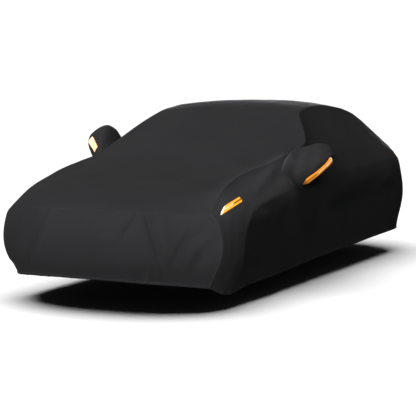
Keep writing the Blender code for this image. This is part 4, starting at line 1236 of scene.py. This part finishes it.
def add_camera():
    yaw = math.radians(CAMERA_YAW)
    pitch = math.radians(CAMERA_PITCH)
    right = Vector((math.cos(yaw), math.sin(yaw), 0))
    flat = math.cos(pitch)
    ahead = Vector((-math.sin(yaw) * flat, math.cos(yaw) * flat, -math.sin(pitch)))
    data = bpy.data.cameras.new("camera")
    data.lens = CAMERA_LENS
    data.sensor_width = 36.0
    data.clip_end = 2000.0
    camera = add_object("camera", data)
    turn = Matrix((right, right.cross(ahead), -ahead)).transposed().to_4x4()
    camera.matrix_world = Matrix.Translation(CAMERA_PLACE) @ turn
    bpy.context.scene.camera = camera


# ---------------------------------------------------------------- the scene

bpy.context.scene.view_settings.view_transform = "Standard"
bpy.context.scene.view_settings.look = "None"
add_camera()
floor = add_floor()
add_world(above=0.02, below=0.06)

black_cloth = cloth_material("black_stretch_knit", (0.0240, 0.0240, 0.0256), 0.012, 0.82)
pocket_cloth = cloth_material("black_pocket_knit", (0.0265, 0.0265, 0.0280), 0.014, 0.78)
tape = tape_material()
thread = thread_material()

outer, normals, folds = fine_surface()
trees = {name: tree_of(grid) for name, grid in outer.items()}
panels = {
    name: add_panel(name, grid, folds[name], black_cloth, trees[name]) for name, grid in outer.items()
}

trim = {name: [] for name in outer}
stitched = {name: [] for name in outer}
for name, first, first_edge, second, second_edge in SEAMS:
    loops, sides = seam_loops(outer, normals, first, first_edge, second, second_edge)
    trim[first].append(swept(name, loops, black_cloth))
    for panel, side in zip((first, second), sides):
        stitched[panel].append(stitches(*side, *SEAM_STITCHES))
for name, panel, edge in HEMS:
    loops, side = hem_loops(outer, normals, panel, edge)
    trim[panel].append(swept(name, loops, black_cloth))
    stitched[panel].append(stitches(*side, *HEM_STITCHES))

pockets = {}
for name, side, panel in POCKETS:
    pockets[name], loops = add_pocket(name + "_cloth", side, trees[panel], pocket_cloth)
    stitched[panel].append(stitches(*pocket_edge(loops, side), *POCKET_STITCHES))
    trees[name] = tree_of(loops, closed=True)

for panel, groups in stitched.items():
    trim[panel].append(add_stitches(panel + "_stitches", groups, thread))

cloth_tree = tree_of(*outer.values())
strips = {}
strip_grids = {}
for strip in STRIPS:
    tree = trees[strip.on] if strip.on in pockets else cloth_tree
    strips[strip.name], strip_grids[strip.name] = add_strip(strip, tree, tape)

all_trim = [piece for group in trim.values() for piece in group]
named = {**panels, **pockets, **strips}
cover = bpy.data.collections.new("cover_receives")
for piece in [*named.values(), *all_trim]:
    cover.objects.link(piece)
ground = bpy.data.collections.new("floor_receives")
ground.objects.link(floor)
add_sun("floor_light", -45, 82, 1.30, 64, ground)
add_sun("front_low_light", 5, 6, 1.17, 26, cover)
add_sun("front_high_light", 5, 28, 0.29, 26, cover)
add_sun("left_light", 60, 28, 0.03, 26, cover)
add_sun("right_high_light", -90, 72, 0.19, 26, cover)
add_sun("top_light", 0, 89, 0.35, 26, cover)
add_sun("back_light", 200.8, 2, 0.60, 20, cover)
add_spot("corner_lamp", (3.9, -3.1, 1.0), (0.87, -1.93, 0.57), 0.41, 0.8, 0.50, cover)
add_softbox("fender_box", (0.87, -1.20, 1.50), 0.18, 1.25, 22, 1.12, cover)

for piece in [*named.values(), *all_trim]:
    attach(piece, "root")
for name, piece in named.items():
    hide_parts(name)
